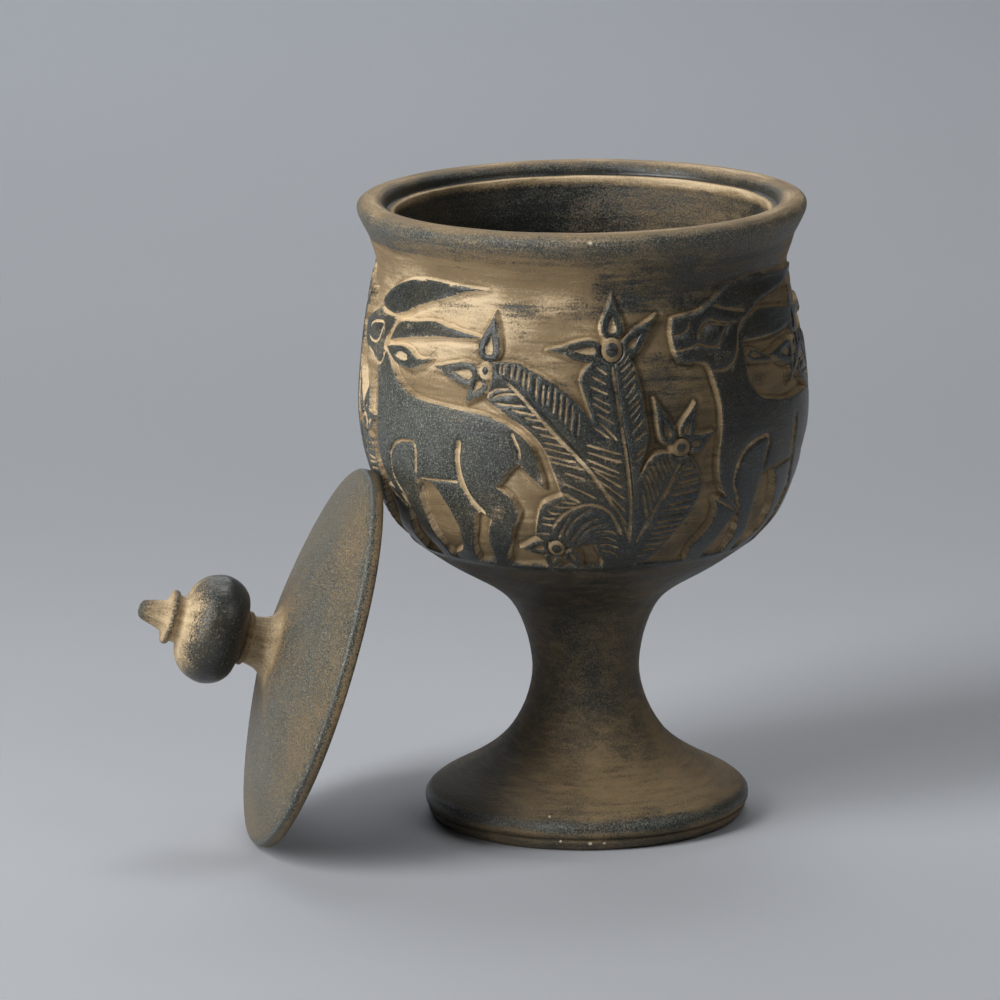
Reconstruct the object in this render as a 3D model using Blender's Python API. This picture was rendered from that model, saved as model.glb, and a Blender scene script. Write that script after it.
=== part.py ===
"""A turned and carved soapstone goblet, 260 mm tall, with its lid leaning against it.

Run with: blender --background --python part.py
Metres, +Z up. The vase stands on z = 0 with its axis on the Z axis, and its front faces -Y.
"""

import math

import bmesh
import bpy
import numpy as np
from mathutils import Matrix, Vector
from mathutils.geometry import delaunay_2d_cdt

# Heights of the vase from the floor, and depths below its top
HEIGHT = 0.260
FOOT_EDGE_HEIGHT = 0.0115
WAIST_HEIGHT = 0.063
BAND_BOTTOM = 0.120
BELLY_HEIGHT = 0.177
LIP_DROP = 0.0035
FLARE_DROP = 0.0150
NECK_DROP = 0.0255
LIP_HEIGHT = HEIGHT - LIP_DROP
BAND_TOP = HEIGHT - FLARE_DROP
NECK_HEIGHT = HEIGHT - NECK_DROP

# Radii of the vase
FOOT_RADIUS = 0.0672
FOOT_BOTTOM_INSET = 0.0050
FOOT_GROOVE_DEPTH = 0.0010
FOOT_GROOVE_HEIGHT = 0.0050
WAIST_RADIUS = 0.0220
BAND_BOTTOM_RADIUS = 0.0722
BELLY_RADIUS = 0.0926
NECK_RADIUS = 0.0848
LIP_RADIUS = 0.0920
LIP_WIDTH = 0.0112
FOOT_CURVE = 2.3
# How much of the flare, from the neck to the lip, lies below the carved band's top
FLARE_START = 0.3

# Hollow of the bowl and the step that takes the lid
WALL = 0.0095
BOWL_FLOOR_HEIGHT = 0.1080
BOWL_FLOOR_RADIUS = 0.0340
SEAT_RADIUS = LIP_RADIUS - LIP_WIDTH
SEAT_DEPTH = 0.0050
SEAT_LEDGE = 0.0042
# How far above the floor, and below the lid's step, the hollow's curved wall ends
FLOOR_STEP = 0.0010
# How many of the last edges below the carved band belong to the bowl's underside
UNDERSIDE_EDGES = 4

# Carved band: depth of the ground below the figures, and width of a figure's sloping side
CARVING_DEPTH = 0.0023
CARVING_SLOPE = 0.0009
CARVING_FADE_LENGTH = 0.023
GROOVE_DEPTH = 0.0010

# Lid: a disc that fits the step, a domed top and a turned knob
LID_CLEARANCE = 0.0008
LID_RADIUS = SEAT_RADIUS - LID_CLEARANCE
LID_EDGE = 0.0050
LID_EDGE_CHAMFER = 0.0005
LID_DOME_RISE = 0.0164
LID_DOME_CURVE = 0.71
KNOB_BASE_RADIUS = 0.0150
KNOB_NECK_RADIUS = 0.0099
KNOB_NECK_LENGTH = 0.0095
KNOB_RING_RADIUS = 0.0109
KNOB_RING_LENGTH = 0.0030
KNOB_BALL_RADIUS = 0.0226
KNOB_BALL_LENGTH = 0.0250
KNOB_HOLLOW_RADIUS = 0.0097
KNOB_HOLLOW_LENGTH = 0.0040
KNOB_COLLAR_RADIUS = 0.0110
KNOB_COLLAR_LENGTH = 0.0030
KNOB_TIP_BASE_RADIUS = 0.0070
KNOB_TIP_RADIUS = 0.0038
KNOB_TIP_LENGTH = 0.0117

# The lid's place: its lower edge on the floor, its upper edge against the bowl
LID_LEAN = math.radians(18.7)
LID_FACING = math.radians(-171.0)
LID_SIDE_SHIFT = 0.0222
REST_GAP = 0.0003

# Facets
TURNS = 40
KNOB_TURNS = 20
BAND_CURVE_STEPS = 12
DRAWING_TO_METRES = 0.001

# The frieze is drawn flat: degrees of turn to the right, and millimetres above the ground line on a
# drawing that is 125 mm tall. The drawing is stretched to the carved band.
DRAWING_HEIGHT = 125.0
# On the sheet, figures that stand on the ground line end this far above the band's bottom ring, and the
# ground starts at the step
BAND_EDGE = 0.4
BAND_STEP = 1.3
BAND_STEP_CLEAR = 0.3
ROW_POINTS_APART = 4.2
PLANT_TURNS = (-87.0, 13.0, 111.0, 213.0)
# Where each antelope's chest stands, its head's shift and drop per degree, and its horns' length
ANTELOPES = (
    {"turn": -65.0, "head_shift": -5.0, "head_drop": 0.16, "horns": 0.82, "ear": ((8.3, 88.5), (27.8, 84.5)),
     "thin_horn": True, "low_back": False},
    {"turn": 37.0, "head_shift": 0.0, "head_drop": 0.0, "horns": 1.0, "ear": ((9.8, 85.0), (21.0, 80.5)),
     "thin_horn": False, "low_back": True},
    {"turn": 135.0, "head_shift": -2.0, "head_drop": 0.08, "horns": 0.9, "ear": ((9.0, 86.5), (25.0, 83.0)),
     "thin_horn": True, "low_back": False},
)
HEAD_PIVOT = 27.0

BODY = (
    (-2.3, 81.5), (-1.0, 75.0), (0.0, 68.0), (0.2, 59.0), (-0.4, 51.0), (-0.6, 43.0), (0.4, 36.0),
    (2.2, 31.0), (5.0, 27.0), (8.0, 26.0), (10.3, 20.0), (11.7, 12.0), (12.8, 6.0), (12.3, -2.0),
    (17.5, -2.0), (17.5, 7.0), (16.2, 15.0), (15.5, 25.0), (16.0, 35.3), (22.0, 35.0), (24.2, 30.0),
    (26.5, 23.0), (27.7, 17.0), (27.2, 11.0), (25.5, 6.0), (21.0, 3.0), (20.5, -2.0), (29.0, -2.0),
    (29.7, 4.5), (31.0, 10.0), (33.0, 17.0), (34.3, 23.0), (36.0, 24.3), (39.3, 21.8), (37.7, 17.0),
    (36.7, 11.0), (36.5, 5.0), (34.5, -2.0), (40.5, -2.0), (41.3, 5.0), (43.0, 10.0), (44.3, 15.5),
    (46.0, 21.0), (47.4, 25.5), (45.5, 32.0), (41.8, 36.2), (43.5, 39.0), (46.0, 44.0), (48.6, 47.0),
    (50.0, 44.0), (52.5, 40.0), (54.8, 36.5), (54.3, 42.0), (53.3, 48.0), (51.8, 54.0), (49.5, 58.0),
    (46.5, 61.5),
)
# The line of the back from the rump to the neck, and one for an antelope with a lower back
HIGH_BACK = (
    (43.0, 63.8), (38.0, 66.0), (30.0, 67.3), (20.0, 68.5), (15.0, 69.7), (11.0, 72.5), (7.0, 78.0), (4.5, 83.0),
    (0.0, 86.0),
)
LOW_BACK = (
    (43.0, 62.6), (38.0, 63.0), (28.0, 62.8), (18.8, 65.1), (14.2, 67.6), (11.3, 71.5), (10.1, 75.9), (9.5, 80.4),
    (0.0, 86.0),
)
FAR_FORELEG = (
    (-0.5, 28.0), (1.0, 24.0), (0.8, 18.0), (-1.0, 13.0), (-3.5, 8.0), (-3.3, -2.0), (2.5, -2.0),
    (3.5, 6.0), (5.5, 12.0), (7.6, 17.0), (9.0, 21.0), (6.0, 27.5),
)
HEAD = (
    (-12.6, 103.8), (-13.3, 99.0), (-13.0, 94.0), (-12.3, 90.0), (-11.0, 86.8), (-8.0, 86.0),
    (-4.0, 85.0), (-2.3, 82.0), (0.0, 78.0), (5.0, 77.0), (9.8, 80.0), (9.3, 85.0), (9.3, 90.0),
    (10.0, 95.0), (12.0, 99.5), (13.0, 102.0), (8.0, 105.5), (3.0, 107.5), (-0.5, 108.3),
    (-2.8, 106.8), (-5.0, 105.2), (-9.0, 104.6),
)
UPPER_HORN = (
    (-0.5, 108.2), (3.0, 111.5), (7.0, 114.0), (12.0, 115.2), (19.0, 115.0), (30.0, 113.8), (50.0, 112.5),
    (34.0, 109.0), (19.0, 105.8), (13.0, 101.5), (6.0, 103.0),
)
LOWER_HORN = (
    (8.0, 91.5), (9.0, 97.0), (12.0, 100.0), (15.0, 101.2), (19.0, 101.8), (27.0, 100.5), (47.0, 96.0),
    (30.0, 91.3), (19.0, 90.7),
)
THIN_HORN = (
    (8.0, 93.0), (10.0, 98.0), (14.9, 100.4), (23.9, 100.9), (30.4, 101.3), (35.1, 100.4), (40.9, 98.6), (50.0, 94.2),
    (41.2, 94.0), (34.5, 94.6), (23.3, 95.0), (12.8, 93.6),
)
EAR_WIDTH = 4.2
# Lines cut into the body and the head, each with its width
BODY_GROOVES = (
    (2.0, ((9.0, 25.0), (5.9, 32.0), (5.4, 38.0), (6.5, 44.0), (9.2, 48.3), (13.0, 50.5), (17.3, 49.5), (16.3, 37.0))),
    (1.6, ((17.5, 35.7), (31.0, 37.0))),
    (3.2, ((32.2, 55.0), (31.3, 46.0), (32.0, 37.0), (34.0, 29.5), (37.5, 23.4))),
    (1.6, ((46.8, 59.5), (48.6, 53.0), (48.8, 48.6))),
    (1.6, ((-0.2, 28.3), (4.0, 24.5), (8.0, 21.0))),
)
HEAD_GROOVES = (
    (1.6, ((11.2, 99.6), (8.2, 95.0), (6.8, 89.0), (4.5, 83.5), (0.5, 81.3))),
    (1.3, ((-12.4, 91.3), (-7.0, 92.0), (-3.5, 91.3), (0.5, 94.0), (4.0, 98.5), (-0.5, 99.9), (-4.0, 98.0),
           (-6.0, 94.5))),
    (1.6, ((0.3, 107.0), (5.0, 104.8), (11.5, 102.6))),
)

# Outline of each leaf of a plant
LEAF_OUTLINES = (
    ((-37.0, 87.0), (-31.0, 87.4), (-26.6, 84.9), (-22.7, 81.7), (-18.8, 77.5), (-15.8, 74.0), (-12.6, 68.4),
     (-9.6, 61.5), (-5.3, 44.8), (-1.0, 10.0), (-9.0, 23.4), (-17.2, 31.0), (-20.0, 40.9), (-22.4, 52.0),
     (-26.9, 60.8), (-33.9, 67.8), (-38.0, 72.0), (-37.2, 79.8)),
    ((-8.1, 90.3), (-11.2, 87.7), (-13.4, 83.0), (-13.3, 78.7), (-12.1, 72.3), (-10.7, 64.5), (-5.1, 32.0),
     (-2.3, 9.3), (1.4, 8.0), (0.9, 40.1), (2.0, 49.2), (3.1, 58.0), (2.4, 67.5), (0.9, 81.9), (-1.6, 91.9)),
    ((11.0, 49.0), (6.4, 50.5), (3.6, 48.2), (1.8, 43.0), (-0.6, 36.0), (-0.9, 6.8), (2.1, 0.7), (5.9, 2.4),
     (10.3, 10.1), (15.8, 22.3), (18.0, 28.9), (18.5, 34.9), (17.5, 40.6), (14.0, 48.2)),
    ((-16.0, 34.5), (-22.6, 31.3), (-24.6, 27.7), (-25.8, 21.4), (-26.5, 15.8), (-22.0, 12.0), (-15.5, 10.2),
     (-13.8, 12.1), (-11.5, 12.5), (-10.1, 12.0), (-8.6, 6.8), (-7.2, 3.2), (-2.0, 4.0), (-1.0, 13.8), (-4.7, 25.4),
     (-11.6, 32.3)),
)
ROOT_BLOCK = ((-8.0, -2.0), (-7.2, 3.2), (-4.3, 9.0), (2.0, 8.0), (2.8, 3.0), (3.1, -2.0), (-2.5, -2.0))
# Each flower: its centre, its half width and half height, and its petals' bases, tips and half widths
FLOWERS = (
    ((-38.7, 83.6), (3.2, 3.9), (
        ((-38.4, 87.3), (-36.7, 108.0), 4.9),
        ((-40.7, 81.0), (-55.3, 83.2), 4.9),
        ((-39.2, 80.6), (-44.5, 69.3), 4.4))),
    ((-5.5, 93.0), (4.5, 5.0), (
        ((-8.0, 92.7), (-22.6, 93.1), 4.5),
        ((-5.4, 97.2), (-5.1, 115.0), 4.8),
        ((-2.6, 91.5), (7.0, 106.1), 3.8))),
    ((12.0, 52.0), (4.2, 3.8), (
        ((9.4, 54.0), (5.1, 73.0), 3.4),
        ((12.8, 55.4), (16.5, 69.9), 3.5),
        ((14.3, 51.6), (21.5, 57.2), 3.8))),
    ((-21.1, 9.9), (4.0, 4.3), (
        ((-23.6, 10.4), (-32.2, 9.3), 4.0),
        ((-21.8, 7.0), (-24.6, -2.0), 4.2),
        ((-18.0, 8.8), (-13.4, -2.0), 3.6))),
)
FLOWER_DISC = 0.62
PETAL_POINTS = 3
DISC_POINTS = 8

STONE = (0.052, 0.056, 0.052, 1.0)


def clear_scene():
    for thing in list(bpy.data.objects):
        bpy.data.objects.remove(thing, do_unlink=True)


def curve_through(points, steps):
    """Points of a smooth curve that passes through each given point, with steps between two of them."""
    given = np.array(points, float)
    ends = np.vstack([2 * given[0] - given[1], given, 2 * given[-1] - given[-2]])
    made = []
    for before, start, end, after in zip(ends, ends[1:], ends[2:], ends[3:]):
        for share in np.arange(steps) / steps:
            made.append(0.5 * (2 * start + (end - before) * share
                               + (2 * before - 5 * start + 4 * end - after) * share ** 2
                               + (3 * start - before - 3 * end + after) * share ** 3))
    made.append(given[-1])
    return np.array(made)


# Outline of the vase

def between(low, high, share):
    return low + (high - low) * share


def foot_and_stem():
    """Radius and height of each turned edge, from the floor up to the carved band."""
    bottom = FOOT_RADIUS - FOOT_BOTTOM_INSET
    lip = FOOT_GROOVE_HEIGHT * 0.3
    edge = [
        (bottom, 0.0),
        (FOOT_RADIUS - FOOT_GROOVE_DEPTH, FOOT_GROOVE_HEIGHT - lip),
        (FOOT_RADIUS - 2 * FOOT_GROOVE_DEPTH, FOOT_GROOVE_HEIGHT),
        (FOOT_RADIUS - 0.4 * FOOT_GROOVE_DEPTH, FOOT_GROOVE_HEIGHT + lip),
        (FOOT_RADIUS, between(FOOT_GROOVE_HEIGHT, FOOT_EDGE_HEIGHT, 0.6)),
    ]
    rise = [
        (between(WAIST_RADIUS, FOOT_RADIUS, (1 - share) ** FOOT_CURVE), between(FOOT_EDGE_HEIGHT, WAIST_HEIGHT, share))
        for share in (0.015, 0.07, 0.16, 0.29, 0.45, 0.68)
    ]
    stem = [
        (between(WAIST_RADIUS, BAND_BOTTOM_RADIUS, out), between(WAIST_HEIGHT, BAND_BOTTOM, up))
        for out, up in ((0, 0), (0.064, 0.3), (0.19, 0.52), (0.36, 0.632), (0.64, 0.775), (0.86, 0.91))
    ]
    return edge + rise + stem


def band_curve():
    """Smooth outline of the bowl, from the carved band's bottom to its top: radius and height."""
    belly = BELLY_HEIGHT - BAND_BOTTOM
    swell = BELLY_RADIUS - BAND_BOTTOM_RADIUS
    drop = NECK_HEIGHT - BELLY_HEIGHT
    taper = BELLY_RADIUS - NECK_RADIUS
    flare = between(NECK_RADIUS, LIP_RADIUS, FLARE_START)
    stations = [
        (BAND_BOTTOM_RADIUS, BAND_BOTTOM),
        (BAND_BOTTOM_RADIUS + 0.42 * swell, BAND_BOTTOM + 0.18 * belly),
        (BAND_BOTTOM_RADIUS + 0.72 * swell, BAND_BOTTOM + 0.43 * belly),
        (BAND_BOTTOM_RADIUS + 0.93 * swell, BAND_BOTTOM + 0.70 * belly),
        (BELLY_RADIUS, BELLY_HEIGHT),
        (BELLY_RADIUS - 0.28 * taper, BELLY_HEIGHT + 0.45 * drop),
        (BELLY_RADIUS - 0.74 * taper, BELLY_HEIGHT + 0.84 * drop),
        (NECK_RADIUS, NECK_HEIGHT),
        (flare, BAND_TOP),
    ]
    return curve_through(stations, BAND_CURVE_STEPS)


def lip_and_seat():
    """The lip from the band's top over its crown, and down to the step that takes the lid."""
    flare = between(NECK_RADIUS, LIP_RADIUS, FLARE_START)
    seat = HEIGHT - SEAT_DEPTH
    return [
        (between(flare, LIP_RADIUS, 0.6), between(BAND_TOP, LIP_HEIGHT, 0.5)),
        (LIP_RADIUS, LIP_HEIGHT),
        (LIP_RADIUS - 0.08 * LIP_WIDTH, between(LIP_HEIGHT, HEIGHT, 0.65)),
        (LIP_RADIUS - 0.28 * LIP_WIDTH, HEIGHT),
        (SEAT_RADIUS + 0.21 * LIP_WIDTH, HEIGHT - 0.07 * SEAT_DEPTH),
        (SEAT_RADIUS, between(seat, HEIGHT, 0.5)),
        (SEAT_RADIUS, seat),
        (SEAT_RADIUS - SEAT_LEDGE, seat),
    ]


def hollow():
    """The inner wall, one wall thickness inside the bowl's outline, down to the flat floor."""
    outside = np.vstack([foot_and_stem()[-UNDERSIDE_EDGES:], band_curve()[::BAND_CURVE_STEPS]])
    along = np.gradient(outside, axis=0)
    inward = np.stack([-along[:, 1], along[:, 0]], axis=1)
    inward /= np.linalg.norm(inward, axis=1)[:, None]
    wall = (outside + inward * WALL)[::-1]
    above_floor = wall[:, 1] > BOWL_FLOOR_HEIGHT + FLOOR_STEP
    below_seat = wall[:, 1] < HEIGHT - SEAT_DEPTH - FLOOR_STEP
    inside = [tuple(point) for point in wall[above_floor & below_seat]]
    inside.append((min(BOWL_FLOOR_RADIUS, 0.9 * inside[-1][0]), BOWL_FLOOR_HEIGHT))
    return inside


# Turned surfaces

def ring(mesh, radius, height, turns):
    angles = [2 * math.pi * step / turns for step in range(turns)]
    return [mesh.verts.new((radius * math.cos(a), radius * math.sin(a), height)) for a in angles]


def join_rings(mesh, low, high):
    """Faces between two rings, where the second may have half as many points."""
    ratio = len(low) // len(high)
    for step, vert in enumerate(low):
        after = (step + 1) % len(low)
        if ratio == 1:
            mesh.faces.new((vert, low[after], high[after], high[step]))
        elif step % 2 == 0:
            mesh.faces.new((vert, low[after], high[step // 2]))
        else:
            following = (step // 2 + 1) % len(high)
            mesh.faces.new((vert, low[after], high[following]))
            mesh.faces.new((vert, high[following], high[step // 2]))


def turn(mesh, outline, turns):
    """Turned surface through an outline of (radius, height), and its first and last rings."""
    rings = [ring(mesh, radius, height, turns) for radius, height in outline]
    for low, high in zip(rings, rings[1:]):
        join_rings(mesh, low, high)
    return rings[0], rings[-1]


def cap(mesh, edge, height):
    centre = mesh.verts.new((0.0, 0.0, height))
    for step, vert in enumerate(edge):
        mesh.faces.new((vert, edge[(step + 1) % len(edge)], centre))


# The frieze, in a flat sheet: x is millimetres round the belly, y is millimetres up the bowl's surface

class Sheet:
    """Lays the drawing on the bowl: drawing to flat sheet, and flat sheet to the bowl's surface."""

    def __init__(self, outline):
        self.radii, self.heights = outline[:, 0], outline[:, 1]
        steps = np.hypot(np.diff(self.radii), np.diff(self.heights))
        self.climb = np.concatenate([[0.0], np.cumsum(steps)]) / DRAWING_TO_METRES
        self.per_degree = math.radians(1.0) * BELLY_RADIUS / DRAWING_TO_METRES
        self.plane_radius = BELLY_RADIUS / DRAWING_TO_METRES
        self.top = self.climb[-1]

    def from_drawing(self, points, turned=0.0):
        points = np.array(points, float)
        height = BAND_BOTTOM + points[:, 1] / DRAWING_HEIGHT * (BAND_TOP - BAND_BOTTOM)
        up = np.maximum(np.interp(height, self.heights, self.climb), BAND_EDGE)
        return np.stack([(points[:, 0] + turned) * self.per_degree, up], axis=1)

    def to_plane(self, point):
        """The sheet rolled into a flat ring, so that it has no seam. Shapes keep their angles."""
        angle = point[0] / self.plane_radius
        reach = self.plane_radius * math.exp(point[1] / self.plane_radius)
        return Vector((reach * math.cos(angle), reach * math.sin(angle)))

    def from_plane(self, point):
        reach = math.hypot(point[0], point[1])
        angle = math.atan2(point[1], point[0])
        return angle * self.plane_radius, self.plane_radius * math.log(reach / self.plane_radius)

    def on_bowl(self, point, depth):
        """The place in space of a sheet point, sunk below the bowl's surface by a depth in metres."""
        radius = np.interp(point[1], self.climb, self.radii)
        height = np.interp(point[1], self.climb, self.heights)
        near = 1.0
        low, high = point[1] - near, point[1] + near
        out = np.interp(high, self.climb, self.radii) - np.interp(low, self.climb, self.radii)
        up = np.interp(high, self.climb, self.heights) - np.interp(low, self.climb, self.heights)
        size = math.hypot(out, up)
        radius -= depth * up / size
        height += depth * out / size
        angle = point[0] / self.plane_radius - math.pi / 2
        return radius * math.cos(angle), radius * math.sin(angle), height


def drop_outline(base, tip, width, points):
    """A pointed drop from a round base to its tip, on the flat sheet."""
    base, tip = np.array(base), np.array(tip)
    along = tip - base
    across = np.array([-along[1], along[0]]) / np.linalg.norm(along)
    shares = (np.arange(points) + 0.5) / points
    reach = shares ** 1.5
    fullest = 0.238
    half = width * np.sqrt(reach / fullest) * ((1 - reach) / (1 - fullest)) ** 1.6
    left = [base + along * share + across * side for share, side in zip(reach, half)]
    right = [base + along * share - across * side for share, side in zip(reach, half)]
    return np.array([base] + left + [tip] + right[::-1])


def oval(centre, half_width, half_height, points):
    angles = 2 * math.pi * (np.arange(points) + 0.5) / points
    return np.array(centre) + np.stack([half_width * np.cos(angles), half_height * np.sin(angles)], axis=1)


def plant_shapes(sheet, turned):
    """Raised outlines of one plant, and the ring cut round each of its flowers."""
    def placed(points):
        return sheet.from_drawing(points, turned)
    raised = [placed(ROOT_BLOCK)]
    rings = []
    raised += [placed(outline) for outline in LEAF_OUTLINES]
    for centre, (half_width, half_height), petals in FLOWERS:
        middle = placed([centre])[0]
        rings.append((middle, half_width, half_height))
        for base, tip, width in petals:
            raised.append(drop_outline(placed([base])[0], placed([tip])[0], width, PETAL_POINTS))
    return raised, rings


def antelope_shapes(sheet, antelope):
    """Raised outlines of one antelope, and the lines cut into it."""
    turned = antelope["turn"]

    def moved_head(points, stretch=1.0):
        moved = []
        for x, y in points:
            reach = x * stretch if x > 0 else x
            moved.append((reach + antelope["head_shift"], y + antelope["head_drop"] * (reach - HEAD_PIVOT)))
        return sheet.from_drawing(moved, turned)

    back = LOW_BACK if antelope["low_back"] else HIGH_BACK
    lower_horn = THIN_HORN if antelope["thin_horn"] else LOWER_HORN
    ear_base, ear_tip = moved_head(antelope["ear"])
    raised = [
        sheet.from_drawing(BODY + back, turned),
        sheet.from_drawing(FAR_FORELEG, turned),
        moved_head(HEAD),
        moved_head(UPPER_HORN, antelope["horns"]),
        moved_head(lower_horn, antelope["horns"]),
        drop_outline(ear_base, ear_tip, EAR_WIDTH, PETAL_POINTS),
    ]
    grooves = [(width, sheet.from_drawing(line, turned)) for width, line in BODY_GROOVES]
    grooves += [(width, moved_head(line)) for width, line in HEAD_GROOVES]
    return raised, grooves


def inside(points, outline):
    """Which points lie inside a closed outline."""
    x, y = points[:, 0:1], points[:, 1:2]
    start, end = outline, np.roll(outline, -1, axis=0)
    crosses = (start[:, 1] > y) != (end[:, 1] > y)
    rise = np.where(end[:, 1] == start[:, 1], 1e-9, end[:, 1] - start[:, 1])
    at = start[:, 0] + (y - start[:, 1]) * (end[:, 0] - start[:, 0]) / rise
    return (crosses & (x < at)).sum(axis=1) % 2 == 1


def distance(points, line, closed):
    """Distance of each point to the nearest part of a line."""
    start = line if closed else line[:-1]
    end = np.roll(line, -1, axis=0) if closed else line[1:]
    along = end - start
    size = np.maximum((along ** 2).sum(axis=1), 1e-12)
    gone = points[:, None, :] - start[None]
    share = np.clip((gone * along).sum(axis=2) / size, 0, 1)
    return np.linalg.norm(gone - share[..., None] * along, axis=2).min(axis=1)


def grown(outline, width):
    """A closed outline moved outwards by a width."""
    before, after = np.roll(outline, 1, axis=0), np.roll(outline, -1, axis=0)
    area = (outline[:, 0] * after[:, 1] - after[:, 0] * outline[:, 1]).sum()
    sign = 1.0 if area > 0 else -1.0

    def outward(start, end):
        along = end - start
        return sign * np.stack([along[:, 1], -along[:, 0]], axis=1) / np.linalg.norm(along, axis=1)[:, None]
    first, second = outward(before, outline), outward(outline, after)
    middle = first + second
    size = np.maximum((middle ** 2).sum(axis=1), 0.5)[:, None]
    return outline + width * 2 * middle / size


class Carving:
    """Collects the points and edges of the frieze on the sheet, and says how deep each point lies."""

    def __init__(self, sheet):
        self.sheet = sheet
        self.girth = 2 * math.pi * sheet.plane_radius
        self.raised = []
        self.lines = []
        self.rings = []
        self.points = []
        self.edges = []

    def nearest_turn(self, outline, points):
        """The outline moved by whole turns, so that it lies nearest to the middle of the points."""
        turns = round((points[:, 0].mean() - outline[:, 0].mean()) / self.girth)
        return outline + np.array([turns * self.girth, 0.0])

    def is_raised(self, points, margin=0.0, leave_out=None):
        """Which points lie in a raised shape, at least a margin from its edge. A margin below 0 takes the edge in."""
        found = np.zeros(len(points), bool)
        for outline in self.raised:
            if outline is leave_out:
                continue
            for turns in (-1, 0, 1):
                moved = outline + np.array([turns * self.girth, 0.0])
                low, high = moved.min(axis=0) - 1, moved.max(axis=0) + 1
                near = ((points > low) & (points < high)).all(axis=1) & ~found
                if not near.any():
                    continue
                within = inside(points[near], moved)
                gap = distance(points[near], moved, True)
                found[near] = (within & (gap > margin)) | ((gap < -margin) & (margin < 0))
        return found

    def add_line(self, line, closed, keep=None, ends_needed=2):
        """Adds a line's points and edges. An edge is kept if enough of its two ends are kept."""
        keep = np.ones(len(line), bool) if keep is None else keep
        count = len(line)
        names = {}
        last = count if closed else count - 1
        for step in range(last):
            ends = (step, (step + 1) % count)
            if int(keep[ends[0]]) + int(keep[ends[1]]) < ends_needed:
                continue
            for end in ends:
                if end not in names:
                    names[end] = len(self.points)
                    self.points.append(line[end])
            self.edges.append((names[ends[0]], names[ends[1]]))
        for step in range(count):
            if keep[step] and step not in names:
                names[step] = len(self.points)
                self.points.append(line[step])

    def add_shapes(self):
        slope = CARVING_SLOPE / DRAWING_TO_METRES
        for outline in self.raised:
            self.add_line(outline, True, ~self.is_raised(outline, 0.25, leave_out=outline), 1)
        for outline in self.raised:
            foot = grown(outline, slope)
            near = np.full(len(foot), 99.0)
            for other in self.raised:
                near = np.minimum(near, distance(foot, self.nearest_turn(other, foot), True))
            clear = ~self.is_raised(foot) & (near > 0.55 * slope) & (foot[:, 1] > BAND_STEP + BAND_STEP_CLEAR)
            self.add_line(foot, True, clear)

    def add_groove(self, line, width):
        """A cut with sloping sides: pointed ends, an edge on each side and a line along its floor."""
        along = np.gradient(line, axis=0)
        across = np.stack([-along[:, 1], along[:, 0]], axis=1) / np.linalg.norm(along, axis=1)[:, None]
        spread = np.full(len(line), width / 2)
        spread[[0, -1]] = 0.0
        left, right = line + across * spread[:, None], line - across * spread[:, None]
        if len(line) == 2:
            middle = line.mean(axis=0)
            left = np.array([line[0], middle + across[0] * width / 2, line[1]])
            right = np.array([line[0], middle - across[0] * width / 2, line[1]])
            line = np.array([line[0], middle, line[1]])
        self.add_line(np.vstack([left, right[1:-1][::-1]]), True)
        self.add_line(line, False)
        self.lines.append(line)

    def add_flower_ring(self, centre, half_width, half_height):
        """A ring cut round a flower's raised disc."""
        disc = oval(centre, half_width * FLOWER_DISC, half_height * FLOWER_DISC, DISC_POINTS)
        floor = oval(centre, half_width * 0.85, half_height * 0.85, DISC_POINTS)
        self.rings.append(oval(centre, half_width * 1.02, half_height * 1.02, DISC_POINTS))
        self.add_line(disc, True)
        self.add_line(floor, True)
        return disc

    def add_rows(self):
        """Rows of points that carry the bowl's roundness, away from the drawn lines."""
        drawn = np.array(self.points)
        column = self.girth / TURNS
        rows = (10.0, 24.0, 38.0, 52.0, 66.0, 80.0, 94.0, 108.0, 120.0)
        for number, row in enumerate(rows):
            shift = 0.5 * (number % 2)
            for step in range(TURNS):
                point = np.array([(step + shift) * column, row / rows[-1] * (self.sheet.top - 9.0)])
                away = drawn - point
                away[:, 0] -= np.round(away[:, 0] / self.girth) * self.girth
                if np.linalg.norm(away, axis=1).min() > ROW_POINTS_APART:
                    self.points.append(point)

    def add_borders(self):
        """The band's bottom and top rings, and the ring at the foot of its step."""
        column = self.girth / TURNS
        for up in (0.0, self.sheet.top):
            self.add_line(np.array([(step * column, up) for step in range(TURNS)]), True)
        self.add_line(np.array([(step * column, BAND_STEP) for step in range(TURNS)]), True)

    def depths(self, points):
        """How far each point lies below the bowl's surface, in metres."""
        height = np.interp(points[:, 1], self.sheet.climb, self.sheet.heights)
        fade = np.clip((BAND_TOP - height) / CARVING_FADE_LENGTH, 0, 1)
        ground = CARVING_DEPTH * fade * fade * (3 - 2 * fade)
        raised = self.is_raised(points, -0.02) | (points[:, 1] < 0.2)
        deep = np.where(raised, 0.0, ground)
        for line in self.lines:
            moved = self.nearest_line(line, points)
            ends = np.minimum(np.linalg.norm(moved - line[0], axis=1), np.linalg.norm(moved - line[-1], axis=1))
            on_floor = (distance(moved, line, False) < 0.02) & (ends > 0.1) & raised
            deep = np.where(on_floor, GROOVE_DEPTH, deep)
        for ring_line in self.rings:
            moved = self.nearest_line(ring_line, points)
            centre = ring_line.mean(axis=0)
            in_ring = inside(moved, ring_line)
            size = ring_line.max(axis=0) - centre
            reach = np.hypot(*((moved - centre) / size).T)
            deep = np.where(in_ring & (reach > 0.75), np.minimum(ground, 1.4 * GROOVE_DEPTH), deep)
            deep = np.where(in_ring & (reach <= 0.75), 0.0, deep)
        return deep

    def nearest_line(self, line, points):
        """The points moved by whole turns, so that each lies nearest to a line's middle."""
        moved = points.copy()
        moved[:, 0] -= np.round((points[:, 0] - line[:, 0].mean()) / self.girth) * self.girth
        return moved

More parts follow.
